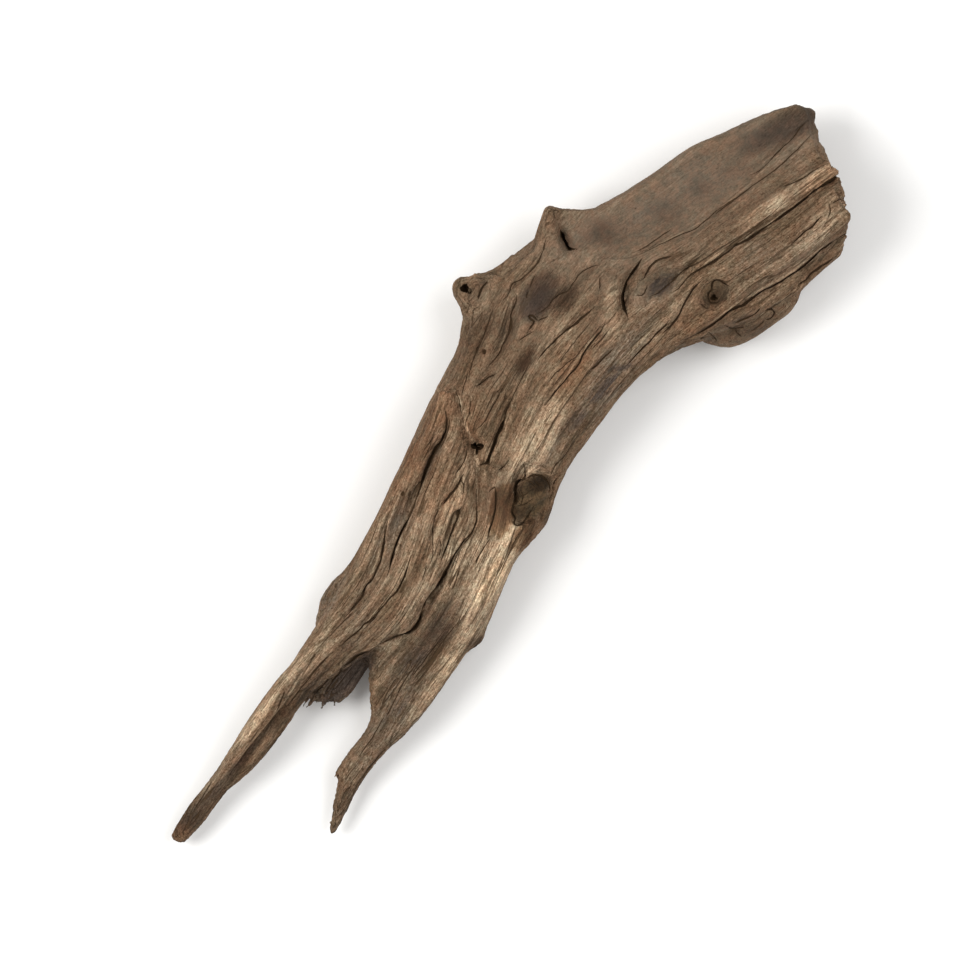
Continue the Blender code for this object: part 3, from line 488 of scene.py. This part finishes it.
def sample(grid, points):
    """The grid's value at each point of the plan."""
    at = np.clip(points[:, :2] / FIELD_STEP_MM, 0, len(grid) - 1.001)
    low = at.astype(int)
    x, y = (at - low).T
    i, j = low.T
    return (grid[i, j] * (1 - x) * (1 - y) + grid[i + 1, j] * x * (1 - y)
            + grid[i, j + 1] * (1 - x) * y + grid[i + 1, j + 1] * x * y)


def knot_frame(points, knot):
    """Each point in a knot's own frame: 1 at its rim, with the angle round it."""
    x, y, half_long, half_wide, turn = knot[:5]
    middle = sheet_to_plan((x, y))
    turn = math.radians(turn)
    offset = points[:, :2] - middle
    long = (offset[:, 0] * math.cos(turn) + offset[:, 1] * math.sin(turn)) / (half_long * UNIT_MM)
    wide = (offset[:, 1] * math.cos(turn) - offset[:, 0] * math.sin(turn)) / (half_wide * UNIT_MM)
    return np.hypot(long, wide), np.arctan2(wide, long)


def blurred(grid, reach, passes=3):
    """The grid averaged over squares of this many steps to each side."""
    size = 2 * reach + 1
    for _ in range(passes):
        for axis in range(2):
            padded = np.pad(grid, [(reach + 1, reach) if k == axis else (0, 0) for k in range(2)])
            sums = np.cumsum(padded, axis)
            high = np.take(sums, range(size, sums.shape[axis]), axis)
            grid = (high - np.take(sums, range(0, sums.shape[axis] - size), axis)) / size
    return grid


def level_fields(points, count):
    """Two grids in plan: the height of the middle of the wood, and half its thickness."""
    i, j = np.clip(np.rint(points[:, :2] / FIELD_STEP_MM).astype(int), 0, count - 1).T
    top, under = np.full((count, count), -np.inf), np.full((count, count), np.inf)
    np.maximum.at(top, (i, j), points[:, 2])
    np.minimum.at(under, (i, j), points[:, 2])
    wood = np.isfinite(top)
    share = blurred(wood.astype(float), LEVEL_REACH) + 1e-9
    middle = blurred(np.where(wood, (top + under) / 2, 0), LEVEL_REACH) / share
    half = blurred(np.where(wood, (top - under) / 2, 0), LEVEL_REACH) / share
    return middle, np.maximum(half, 3.0)


def grain_coordinates(points, fields):
    """For each point: how far along the grain, how far across it, and how high in the wood, bent round the knots."""
    along, across = sample(fields[0], points), sample(fields[1], points)
    middle, half = sample(fields[2], points), sample(fields[3], points)
    height = np.clip((points[:, 2] - middle) / half, -1.5, 1.5) * GRAIN_HALF_MM
    uneven = 1 + 0.3 * Noise(SEED + 2)(points / 5.0)
    for knot in KNOTS:
        radius, _ = knot_frame(points, knot)
        centre = sample(fields[1], np.append(sheet_to_plan(knot[:2]), 0)[None])[0]
        across = centre + (across - centre) * (1 - KNOT_PULL * np.exp(-((radius / 1.35) ** 2)))
        within = ease(1.2 - radius, 0, 0.35)
        bent = radius * uneven * knot[3] * UNIT_MM
        across += within * min(1.0, knot[6] * 1.2) * (centre + bent - across)
    return np.stack([along, across, height], 1)


def spots(points, rows, wobble=None):
    """How strongly each point lies in the soft spots or, with a wobble, in stains with a clear edge."""
    found = zeros(points)
    for row in rows:
        radius, _ = knot_frame(points, row)
        share = np.exp(-(radius**2.4) * 0.8) if wobble is None else ease(1.1 - radius + 0.3 * wobble, 0, 0.28)
        found = np.maximum(found, row[5] * share)
    return found


def split_relief(points, up, rows, wander):
    """Depth of the drawn splits at each point, how far each point is from the nearest line, and how wide that is."""
    depth, width = zeros(points), zeros(points)
    offset = np.full(len(points), SPLIT_REACH_MM * 2)
    moved = points.copy()
    moved[:, 0] += SPLIT_WANDER_MM * wander[0]
    moved[:, 1] += SPLIT_WANDER_MM * wander[1]
    for (half_width, deep), *line in rows:
        reach = half_width + SPLIT_REACH_MM
        chosen, side, share = near_curve(moved, curve_through(line), reach)
        away = np.abs(side)
        taper = ends_fade(share, SPLIT_ENDS)
        shown_share = facing(up[chosen], "split")
        drawn = half_width * (0.35 + 0.65 * taper) * (1 + SPLIT_UNEVEN * wander[2][chosen]) * shown_share
        groove = np.maximum(drawn, GROOVE_MM) * 1.5
        profile = ease(np.clip(1 - away / groove, 0, 1), 0, 0.9) * (0.3 + 0.7 * taper)
        depth[chosen] = np.maximum(depth[chosen], deep * profile * shown_share)
        nearer = away - drawn < np.abs(offset[chosen]) - width[chosen]
        offset[chosen[nearer]] = side[nearer]
        width[chosen[nearer]] = (drawn * (1 - ease(away - drawn, *LINE_FADE_MM)))[nearer]
    return depth, offset, width


def step_relief(points, up):
    """The height of the steps, where one side of a line stands above the other, and how near each point is to a step's
    edge, with its painted highlight, and to its foot, with its painted shade.
    """
    height, edge, foot = zeros(points), zeros(points), zeros(points)
    for rise, reach, raised, *line in STEPS:
        chosen, side, share = near_curve(points, curve_through(line), reach * 4)
        taper = ends_fade(share, RELIEF_ENDS)
        taper *= facing(up[chosen], "step") * ease(4 - np.abs(side) / reach, 0, 1)
        side = side * raised
        low = -STEP_LOW * np.exp(-np.abs(side) / reach)
        high = STEP_HIGH * np.exp(-np.abs(side) / (STEP_HIGH_REACH * reach))
        high -= STEP_LIP * np.exp(-((side / LIP_MM) ** 2))
        height[chosen] += rise * np.where(side > 0, high, low) * taper
        # Painted highlight on the raised side, strongest EDGE_MM from the line
        near = np.exp(-np.abs(side - EDGE_MM) / EDGE_MM) * taper * (side > 0)
        edge[chosen] = np.maximum(edge[chosen], near)
        # Painted shade at the foot of the step, on its low side, for high steps only
        under = np.exp(-(((side + FOOT_MM / 2) / FOOT_MM) ** 2)) * ends_fade(share, FOOT_ENDS)
        under *= facing(up[chosen], "split") * ease(rise, *DARK_FOOT_RISE_MM)
        foot[chosen] = np.maximum(foot[chosen], under)
    return height, edge, foot


def ridge_relief(points, up):
    height = zeros(points)
    for rise, half_width, *line in RIDGES:
        chosen, away, share = near_curve(points, curve_through(line), half_width * 2.5)
        taper = ends_fade(share, RELIEF_ENDS)
        height[chosen] += rise * np.exp(-((away / half_width) ** 2)) * taper * facing(up[chosen], "ridge")
    return height


def hole_relief(points, up, wobble):
    depth, middle = zeros(points), zeros(points)
    for x, y, radius, deep in HOLES:
        centre = sheet_to_plan((x, y))
        away = np.hypot(points[:, 0] - centre[0], points[:, 1] - centre[1]) / (radius * UNIT_MM)
        away *= 1 + (UNEVEN_RIM if radius > LARGE_HOLE else EVEN_RIM) * wobble
        share = ease(1.15 - away, 0, 0.55) * facing(up, "hole")
        depth = np.maximum(depth, deep * share)
        middle = np.maximum(middle, share)
    return depth, middle


def knot_relief(points, up, noise):
    """Rings of each knot, and how far each point lies in one."""
    height, within = zeros(points), zeros(points)
    for knot in KNOTS:
        radius, angle = knot_frame(points, knot)
        near = radius < 1.8
        at = np.stack([np.cos(angle[near]) * 1.3, np.sin(angle[near]) * 1.3, np.full(near.sum(), knot[0] / 7)], 1)
        radius = radius[near] * (1 + 0.16 * noise(at))
        on_top = facing(up[near], "knot")
        round_it = np.stack([np.cos(angle[near]) * 1.6, np.sin(angle[near]) * 1.6, radius * 7 + knot[0]], 1)
        rings = KNOT_RING_MM * noise(round_it) + KNOT_CRUMB_MM * noise(points[near] / 1.5)
        dome = knot[5] * ease(1.0 - radius, 0, 0.8)
        height[near] += (rings * ease(1.25 - radius, 0, 0.4) + dome) * on_top
        within[near] = np.maximum(within[near], knot[6] * ease(1.15 - radius, 0, 0.35) * on_top)
    return height, within


def grain_relief(grain, smooth, noises):
    """Height of the weathered grain at each point, from about -1 to 1 times the layers' heights."""
    height = zeros(grain)
    for noise, (length, width, rise, left) in zip(noises, GRAIN_LAYERS):
        value = noise(grain / (length, width, width))
        # Fibres stand up as round backs between narrow valleys
        back = np.minimum(np.abs(value) * BACK_GAIN, BACK_TOP) ** BACK_POWER - BACK_LEVEL
        height += rise * back * (1 - (1 - left) * smooth)
    return height


def small_splits(grain, smooth, noises):
    """Depth of the small splits at each point, and how near its middle each point is."""
    depth, middle = zeros(grain), zeros(grain)
    for noise, (length, spacing, width, deep, share) in zip(noises, SPLIT_LAYERS):
        line = noise(grain / (length, spacing, spacing))
        where = noise(grain / (length * 0.7, spacing * 4, spacing * 4) + 31.7)
        gate = ease(where, share, share + 0.25) * (1 - smooth)
        inside = np.clip(1 - np.abs(line) / (width * 2 * (0.4 + gate)), 0, 1) * gate
        depth = np.maximum(depth, deep * ease(inside, 0, 0.9))
        middle = np.maximum(middle, ease(inside, 0.1, 0.8))
    return depth, middle


def read_vectors(data, source, field):
    values = np.empty(len(data.vertices) * 3, np.float32)
    source.foreach_get(field, values)
    return values.reshape(-1, 3).astype(float)


def baked(obj):
    """The object's mesh with its modifiers applied, and the object removed."""
    graph = bpy.context.evaluated_depsgraph_get()
    data = bpy.data.meshes.new_from_object(obj.evaluated_get(graph))
    bpy.data.objects.remove(obj)
    return data


def shown(data, name):
    obj = bpy.data.objects.new(name, data)
    bpy.context.scene.collection.objects.link(obj)
    return obj


def remeshed(data, voxel, passes):
    """The mesh remeshed at this voxel size, and smoothed this many times."""
    skin = shown(data, "skin")
    remesh = skin.modifiers.new("remesh", "REMESH")
    remesh.mode = "VOXEL"
    remesh.voxel_size = voxel * MM
    blend = skin.modifiers.new("blend", "SMOOTH")
    blend.factor = 0.6
    blend.iterations = passes
    return baked(skin)


def add_splinters(mesh):
    """Thin spikes that stand out of the broken edges, rooted in the wood."""
    random = np.random.RandomState(SEED)
    for edge, height, count, length, way in FRAYS:
        edge = sheet_to_plan(np.reshape(edge, (-1, 2)))
        way = np.array([way[0], -way[1], 0.0])
        for k in range(count):
            at = (k + random.uniform(0.1, 0.9)) / count * (len(edge) - 1)
            low = min(int(at), len(edge) - 2)
            root = np.append(edge[low] + (edge[low + 1] - edge[low]) * (at - low), height + random.uniform(-2.5, 2.5))
            lean = way + random.normal(size=3) * (0.22, 0.22, 0.3)
            lean /= np.linalg.norm(lean)
            tip = root + lean * length * random.uniform(0.25, 1.0)
            add_spike(mesh, root - lean * length * 0.8, tip)
    for root, low, tip, high in SPIKES:
        add_spike(mesh, np.append(sheet_to_plan(root), low), np.append(sheet_to_plan(tip), high))


def add_spike(mesh, root, tip):
    """A closed tapered spike of six sides, from one point of the plan to another."""
    way = Vector(tip - root).normalized()
    over = way.orthogonal().normalized()
    beside = way.cross(over)
    rings = [[], []]
    for ring, centre, radius in zip(rings, (root, tip), SPLINTER_RADII):
        for angle in np.arange(6) * math.pi / 3:
            point = Vector(centre) + (over * math.cos(angle) + beside * math.sin(angle)) * radius
            ring.append(mesh.verts.new(plan_to_part(np.array([point]))[0]))
    for k in range(6):
        mesh.faces.new((rings[0][k], rings[0][k - 5], rings[1][k - 5], rings[1][k]))
    mesh.faces.new(list(reversed(rings[0])))
    mesh.faces.new(rings[1])


def fine_skin():
    """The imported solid's skin with its facets smoothed away and splinters at its broken ends, remeshed finely."""
    form = remeshed(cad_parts["driftwood"].data.copy(), FORM_VOXEL_MM, FORM_PASSES)
    mesh = bmesh.new()
    mesh.from_mesh(form)
    add_splinters(mesh)
    mesh.to_mesh(form)
    mesh.free()
    return remeshed(form, SKIN_VOXEL_MM, SKIN_PASSES)


def surface_masks(points, normals, fields, noises):
    """The grain's own coordinates at each point, and how smooth, dark, light, grey, warm and stained it is."""
    on_top = facing(normals[:, 2], "top")
    stained = spots(points, MARKS, noises["wander"](points / 2.6 + 5)) * on_top
    masks = {"grain": grain_coordinates(points, fields), "mark": stained}
    for name, (rows, uneven, scale, shift, beside, most) in ZONES.items():
        drift = uneven * noises["drift"](points / scale + shift)
        masks[name] = np.clip(spots(points, rows) * on_top + drift + beside * (1 - on_top), 0, most)
    return masks


def worked(points, normals, fields, noises):
    """How the relief moves each point, in millimetres, and the masks that go with it."""
    up = normals[:, 2]
    masks = surface_masks(points, normals, fields, noises)
    grain, smooth = masks["grain"], masks["smooth"]
    wander = [noises["wander"](points / 4.0 + 17 * k) for k in range(3)]
    drawn, offset, width = split_relief(points, up, SPLITS + KNOT_SPLITS, wander)
    small, small_middle = small_splits(grain, smooth, noises["splits"])
    holes, hole_middle = hole_relief(points, up, noises["wander"](points / 1.8))
    rings, knots = knot_relief(points, up, noises["wander"])
    backs = grain_relief(grain, np.maximum(smooth, knots), noises["grain"])
    steps, edges, painted_foot_shade = step_relief(points, up)
    height = backs + rings + ridge_relief(points, up) + steps
    height -= small * (1 - knots) + holes
    # The worn spots that it rests on stay flat
    worn = np.where(up < -0.3, ease(points[:, 2], 0.2, 2.0), 1.0)
    down = facing(up, "straight down")[:, None]
    inward = normals * (1 - down) + np.array([0.0, 0.0, 1.0]) * down
    moved = normals * (height * worn)[:, None] - inward * (drawn * worn)[:, None]
    masks["offset"], masks["width"] = offset, width
    # Painted highlight along the raised edges of the steps, put into the light mask
    masks["light"] = np.maximum(masks["light"], PAINTED_EDGE_HIGHLIGHT * edges * (1 - 0.5 * smooth))
    # Painted shade in the small splits, in the holes and at the feet of the steps
    masks["split"] = np.maximum(np.maximum(SMALL_SPLIT_SHADE * small_middle, hole_middle), FOOT_SHADE * painted_foot_shade)
    masks["back"] = np.clip(backs / BACK_SPAN_MM + 0.5, 0, 1)
    masks["knot"] = knots
    return moved, masks


def write_points(data, points):
    data.vertices.foreach_set("co", points.astype(np.float32).ravel())
    data.update()


def store(data, name, columns):
    """Keeps up to three values a point on the mesh."""
    values = np.zeros((len(data.vertices), 3), np.float32)
    values[:, :len(columns)] = np.stack(columns, 1)
    data.attributes.new(name, "FLOAT_VECTOR", "POINT").data.foreach_set("vector", values.ravel())


def make_wood():
    noises = {
        "drift": Noise(SEED), "wander": Noise(SEED + 1),
        "grain": [Noise(SEED + 10 + k) for k in range(len(GRAIN_LAYERS))],
        "splits": [Noise(SEED + 20 + k) for k in range(len(SPLIT_LAYERS))],
    }
    fields = grain_fields()
    data = fine_skin()
    before = part_to_plan(read_vectors(data, data.vertices, "co"))
    normals = turn_to_plan(read_vectors(data, data.vertex_normals, "vector"))
    fields += level_fields(before, len(fields[0]))
    moved, masks = worked(before, normals, fields, noises)
    write_points(data, inside_box(plan_to_part(before + moved)))
    keep_on(data, masks)

    wood = shown(data, "worked")
    keep_fine(wood, masks, normals)
    thin = wood.modifiers.new("thin", "DECIMATE")
    thin.vertex_group = "thinned"
    thin.vertex_group_factor = UNDERSIDE_THINNING
    thin.ratio = SKIN_TRIANGLES / sum(len(face.vertices) - 2 for face in data.polygons)
    data = baked(wood)
    take_flaps_off(data)
    write_points(data, inside_box(read_vectors(data, data.vertices, "co")))
    data.name = "driftwood_wood"
    data.shade_smooth()
    return shown(data, "driftwood_wood")


def take_flaps_off(data):
    """Leaves only the largest group of faces that hang together over edges with two faces, and closes it."""
    mesh = bmesh.new()
    mesh.from_mesh(data)
    bmesh.ops.remove_doubles(mesh, verts=mesh.verts[:], dist=JOIN_MM * MM)
    bmesh.ops.dissolve_degenerate(mesh, dist=JOIN_MM * MM, edges=mesh.edges[:])
    left, groups = set(mesh.faces), []
    while left:
        groups.append([left.pop()])
        for face in groups[-1]:
            beside = {other for edge in face.edges if len(edge.link_faces) == 2 for other in edge.link_faces} & left
            left -= beside
            groups[-1] += beside
    groups.sort(key=len)
    bmesh.ops.delete(mesh, geom=[face for group in groups[:-1] for face in group], context="FACES")
    bmesh.ops.holes_fill(mesh, edges=[edge for edge in mesh.edges if edge.is_boundary], sides=0)
    bmesh.ops.triangulate(mesh, faces=[face for face in mesh.faces if len(face.verts) > 3])
    mesh.to_mesh(data)
    mesh.free()
    data.update()


def keep_fine(wood, masks, normals):
    """Says where the mesh may be thinned: not at the splits, and most of all on the underside."""
    group = wood.vertex_groups.new(name="thinned")
    near = (np.abs(masks["offset"]) < masks["width"] + KEPT_MM) & (masks["width"] > 0.05)
    under = normals[:, 2] < -0.2
    group.add(np.where(under & ~near)[0].tolist(), 1.0, "REPLACE")
    group.add(np.where(~under & ~near)[0].tolist(), 0.5, "REPLACE")


def keep_on(data, masks):
    """Keeps what the material needs to know on the mesh."""
    store(data, "grain", masks["grain"].T)
    for name, columns in KEPT_MASKS.items():
        store(data, name, [masks[column] for column in columns])


def inside_box(points):
    low, high = (np.array(corner) for corner in cad_box)
    return np.clip(points, low + BOX_GAP_MM * MM, high - BOX_GAP_MM * MM)


class Value:
    """A value in a material that can be reckoned with."""

    def __init__(self, shading, socket):
        self.shading, self.socket = shading, socket

    def __rsub__(self, other):
        return self.shading.math("SUBTRACT", other, self)

    def __abs__(self):
        return self.shading.math("ABSOLUTE", self)


for sign, way in (("add", "ADD"), ("sub", "SUBTRACT"), ("mul", "MULTIPLY"), ("truediv", "DIVIDE")):
    setattr(Value, f"__{sign}__", lambda self, other, way=way: self.shading.math(way, self, other))


class Shading:
    """Short ways to add and join shader nodes."""

    def __init__(self, name):
        self.material = bpy.data.materials.new(name)
        self.material.use_nodes = True
        self.tree = self.material.node_tree
        self.shader = self.tree.nodes["Principled BSDF"]

    def node(self, kind, inputs=(), **settings):
        node = self.tree.nodes.new(kind)
        for key, value in settings.items():
            setattr(node, key, value)
        for key, value in dict(inputs).items():
            self.put(node.inputs[key], value)
        return node

    def put(self, socket, value):
        if isinstance(value, Value):
            self.tree.links.new(value.socket, socket)
        elif isinstance(value, tuple) and len(value) == 3 and socket.type == "RGBA":
            socket.default_value = (*value, 1)
        else:
            socket.default_value = value

    def result(self, kind, inputs, output=0, **settings):
        return Value(self, self.node(kind, inputs, **settings).outputs[output])

    def parts(self, attribute):
        """The three values of a vector that the mesh keeps, and the vector itself."""
        vector = self.result("ShaderNodeAttribute", {}, "Vector", attribute_name=attribute)
        parts = self.node("ShaderNodeSeparateXYZ", {0: vector}).outputs
        return [Value(self, part) for part in parts] + [vector]

    def math(self, way, *values):
        return self.result("ShaderNodeMath", dict(enumerate(values)), operation=way)

    def larger(self, first, second):
        return self.math("MAXIMUM", first, second)

    def noise(self, vector, scale, detail, roughness=0.55, warp=0.0):
        """Noise over a vector that is first scaled, by x alone and then by y and z."""
        scale = (scale[0], scale[-1], scale[-1])
        vector = self.result("ShaderNodeVectorMath", {0: vector, 1: scale}, operation="MULTIPLY")
        inputs = {"Vector": vector, "Scale": 1.0, "Detail": detail, "Roughness": roughness, "Distortion": warp}
        return self.result("ShaderNodeTexNoise", inputs)

    def band(self, value, low, high, bottom=0.0, top=1.0):
        inputs = {0: value, 1: low, 2: high, 3: bottom, 4: top}
        return self.result("ShaderNodeMapRange", inputs, interpolation_type="SMOOTHSTEP")

    def mix(self, share, first, second, blend_type="MIX"):
        return self.result("ShaderNodeMix", {0: share, 6: first, 7: second}, 2, data_type="RGBA",
                           blend_type=blend_type)

    def dim(self, share, colour, tint):
        return self.mix(share, colour, tint, "MULTIPLY")


# Colours of the wood, linear. Some are painted shade, as marked.
UMBER = (0.09, 0.056, 0.031)
BROWN = (0.162, 0.1, 0.058)
TAN = (0.29, 0.2, 0.125)
PALE_FIBRE = (0.66, 0.5, 0.335)
BLEACHED, DEEPEST = (1.6, 1.56, 1.5), (0.56, 0.54, 0.5)
WEATHERED = (0.125, 0.096, 0.07)
ASH = (0.3, 0.238, 0.175)
HOLLOW = (0.072, 0.056, 0.048)
# Dims the stains, and also the dark spots that are painted shade
STAIN_AND_SHADE_TINT = (0.33, 0.3, 0.28)
MARK = (0.53, 0.44, 0.36)
RED_TINT, GREEN_TINT, RUST_TINT = (1.05, 0.975, 0.95), (0.95, 1.01, 1.02), (0.98, 0.84, 0.76)
FIBRE_LIGHT, FIBRE_DARK = (1.55, 1.58, 1.62), (0.42, 0.36, 0.29)
SCOOP_BROWN = (0.105, 0.076, 0.052)
SCOOP_LIGHT = (0.18, 0.124, 0.083)
KNOT_BROWN = (0.105, 0.07, 0.036)
# The dark of the knots below, also painted shade in the valleys between the fibres
KNOT_DARK_AND_VALLEY_SHADE = (0.042, 0.027, 0.013)
# Painted shade in the splits, hairline checks and holes, and at the feet of high steps
CREVICE_SHADE = (0.05, 0.028, 0.012)


def wood_material():
    s = Shading("weathered_wood")
    dark, light, grey, _ = s.parts("tone_and_painted_light")
    split, back, knot, _ = s.parts("shade_grain_and_knots")
    smooth, offset, width, _ = s.parts("zone")
    warm, mark, _, _ = s.parts("brown")
    grain = s.parts("grain")[3]
    place = s.result("ShaderNodeTexCoord", {}, "Object")

    hair = s.noise(grain, (0.4, 1.9), 2.0, 0.7)
    thread = s.noise(grain, (0.1, 1.2), 3.0, 0.62)
    fibre = s.noise(grain, (0.03, 0.55), 4.0, 0.6, 0.1)
    streak = s.noise(grain, (0.013, 0.2), 4.0, 0.55, 0.2)
    patch = s.noise(place, (45.0,), 4.0, 0.6)
    mottle = s.noise(place, (220.0,), 4.0, 0.65)
    fleck = s.noise(place, (1000.0,), 3.0, 0.75)

    # Brown wood with tan streaks, lighter on the backs of the fibres
    colour = s.mix(s.band(back * 0.4 + fibre * 0.6, 0.32, 0.6), UMBER, BROWN)
    tan_share = s.band(streak, 0.42, 0.62) * s.band(thread, 0.36, 0.6)
    colour = s.mix(tan_share * 0.7, colour, TAN)
    # Smooth wood, where the surface is worn or stained
    plain = s.mix(s.band(patch * 0.5 + mottle * 0.5, 0.36, 0.64), SCOOP_BROWN, SCOOP_LIGHT)
    colour = s.mix(smooth * 0.88, colour, plain)
    # Pale dry fibres, with painted light on the lit strip of the left tine and along the raised edges of steps
    dry_and_lit = s.band(light + (streak - 0.5) * 0.7, 0.15, 0.95)
    pale = dry_and_lit * s.band(thread + back * 0.3, 0.44, 0.78)
    colour = s.mix(dry_and_lit * 0.55, colour, TAN)
    colour = s.mix(pale * 0.85, colour, PALE_FIBRE)
    # Grey weathering
    ash = s.mix(s.band(thread, 0.42, 0.66), WEATHERED, ASH)
    colour = s.mix(grey * s.band(fibre, 0.34, 0.62, 0.15, 0.85), colour, ash)
    # Knots
    rings = s.mix(s.band(fleck * 0.5 + mottle * 0.5, 0.4, 0.6), KNOT_DARK_AND_VALLEY_SHADE, KNOT_BROWN)
    colour = s.mix(knot * 0.85, colour, rings)
    # Redder and greener browns, and stains with a clear edge
    colour = s.dim(1.0, colour, s.mix(s.band(mottle, 0.35, 0.65), GREEN_TINT, RED_TINT))
    colour = s.dim(s.band(warm, 0.0, 1.0), colour, RUST_TINT)
    colour = s.dim(mark, colour, MARK)
    # Dark hollows and stains, drawn out along the fibres where the wood is grey, and the painted shade of some dark
    # spots
    drawn_out = (fibre * 0.4 + thread * 0.6 - 0.5) * grey * 3.4
    stain_and_shade = s.band(dark + ((patch - 0.5) * 0.9 + drawn_out), 0.2, 0.95)
    colour = s.dim(stain_and_shade * 0.95, colour, STAIN_AND_SHADE_TINT)
    colour = s.dim(s.band(dark, 0.95, 1.4), colour, DEEPEST)
    colour = s.dim(s.band(light, 0.95, 1.5), colour, BLEACHED)
    colour = s.mix(stain_and_shade * grey * 0.7, colour, HOLLOW)
    # Short light and dark fibres, and flecks
    lively = 1.0 - s.larger(smooth, knot) * 0.68
    for speck in (hair, fleck):
        colour = s.dim(s.band(speck, 0.5, 0.72) * lively, colour, FIBRE_LIGHT)
        colour = s.dim(s.band(speck, 0.5, 0.28) * lively, colour, FIBRE_DARK)
    # Painted shade in the valleys between the fibres, in the hairline checks, and in the splits
    valley_shade = s.band(back, 0.34, 0.05) * (1.0 - smooth)
    colour = s.mix(valley_shade * 0.55, colour, KNOT_DARK_AND_VALLEY_SHADE)
    check = s.noise(grain, (0.011, 0.24), 1.0, 0.4)
    where = s.noise(grain, (0.02, 0.12), 1.0, 0.5)
    gate = s.band(where, 0.48, 0.6) * s.band(s.larger(smooth, knot), 0.0, 1.0, 1.0, 0.15)
    hairline = s.band(abs(check - 0.5), 0.03, 0.01) * gate
    colour = s.mix(hairline * 0.8, colour, CREVICE_SHADE)
    # Painted shade along the drawn splits
    away = abs(offset + (thread - 0.5) * 0.4)
    inner = (width - away) / s.larger(width, 0.05)
    cleft = s.band(inner, -0.5, 0.3) * s.band(width, 0.02, 0.12)
    colour = s.mix(s.larger(cleft, s.band(split, 0.15, 0.8)), colour, CREVICE_SHADE)
    s.put(s.shader.inputs["Base Color"], colour)

    s.put(s.shader.inputs["Roughness"], s.band(smooth, 0.0, 1.0, 0.88, 0.7))
    s.put(s.shader.inputs["Specular IOR Level"], 0.14)
    fine = fibre * 0.7 + thread * 0.5 + hair * 0.35 - hairline * 0.8
    fine = fine * (1.1 - smooth) + fleck * s.band(smooth, 0.0, 1.0, 0.3, 0.16) - cleft * 0.9
    bump = s.result("ShaderNodeBump", {"Height": fine, "Strength": 1.0, "Distance": 0.001})
    s.put(s.shader.inputs["Normal"], bump)
    return s.material


FLOOR_SIZE = 60.0
CAMERA_HEIGHT, CAMERA_LENS, SENSOR = 8.0, 600.0, 36.0
SHARP_LEVEL = 0.028
SHEET_MIDDLE_MM = SHEET_SIDE * UNIT_MM / 2
# Lights: where each stands, its size, power, colour.
LIGHTS = (
    ((-0.9, 1.1, 1.7), 1.3, 39.5, (1.0, 0.99, 0.97)),
    ((1.1, -0.6, 1.9), 1.6, 25.0, (1.0, 0.995, 0.99)),
)
SKY_STRENGTH = 0.475


def make_floor():
    data = bpy.data.meshes.new("floor")
    half = FLOOR_SIZE / 2
    data.from_pydata([(-half, -half, 0), (half, -half, 0), (half, half, 0), (-half, half, 0)], [], [(0, 1, 2, 3)])
    s = Shading("pale_floor")
    for name, value in (("Base Color", (0.92, 0.92, 0.915)), ("Roughness", 0.95), ("Specular IOR Level", 0.1)):
        s.put(s.shader.inputs[name], value)
    data.materials.append(s.material)
    shown(data, "floor")


def make_lights():
    for k, (place, size, power, colour) in enumerate(LIGHTS):
        light = bpy.data.lights.new(f"softbox_{k}", "AREA")
        light.size, light.energy, light.color = size, power, colour
        lamp = shown(light, f"softbox_{k}")
        lamp.location = place
        lamp.rotation_euler = (-Vector(place)).to_track_quat("-Z", "Y").to_euler()
    world = bpy.data.worlds.new("studio")
    world.use_nodes = True
    sky = world.node_tree.nodes["Background"]
    sky.inputs["Color"].default_value = (1.0, 0.995, 0.985, 1)
    sky.inputs["Strength"].default_value = SKY_STRENGTH
    bpy.context.scene.world = world


def make_camera():
    """Straight above the wood, so that the sheet fills the picture at SHARP_LEVEL."""
    camera = bpy.data.cameras.new("camera")
    camera.lens, camera.sensor_width = CAMERA_LENS, SENSOR
    camera.clip_start, camera.clip_end = 0.1, 100.0
    place = plan_to_part(np.array([[SHEET_MIDDLE_MM, SHEET_MIDDLE_MM, 0.0]]))[0]
    obj = shown(camera, "camera")
    scene = bpy.context.scene
    obj.location = (place[0], place[1], SHARP_LEVEL + CAMERA_HEIGHT)
    obj.rotation_euler = (0, 0, -PLAN_TURN)
    scene.camera = obj
    scene.view_settings.view_transform = "Standard"


make_camera()
make_lights()
make_floor()
wood = make_wood()
wood.data.materials.clear()
wood.data.materials.append(wood_material())
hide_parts("driftwood")
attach(wood, "root")
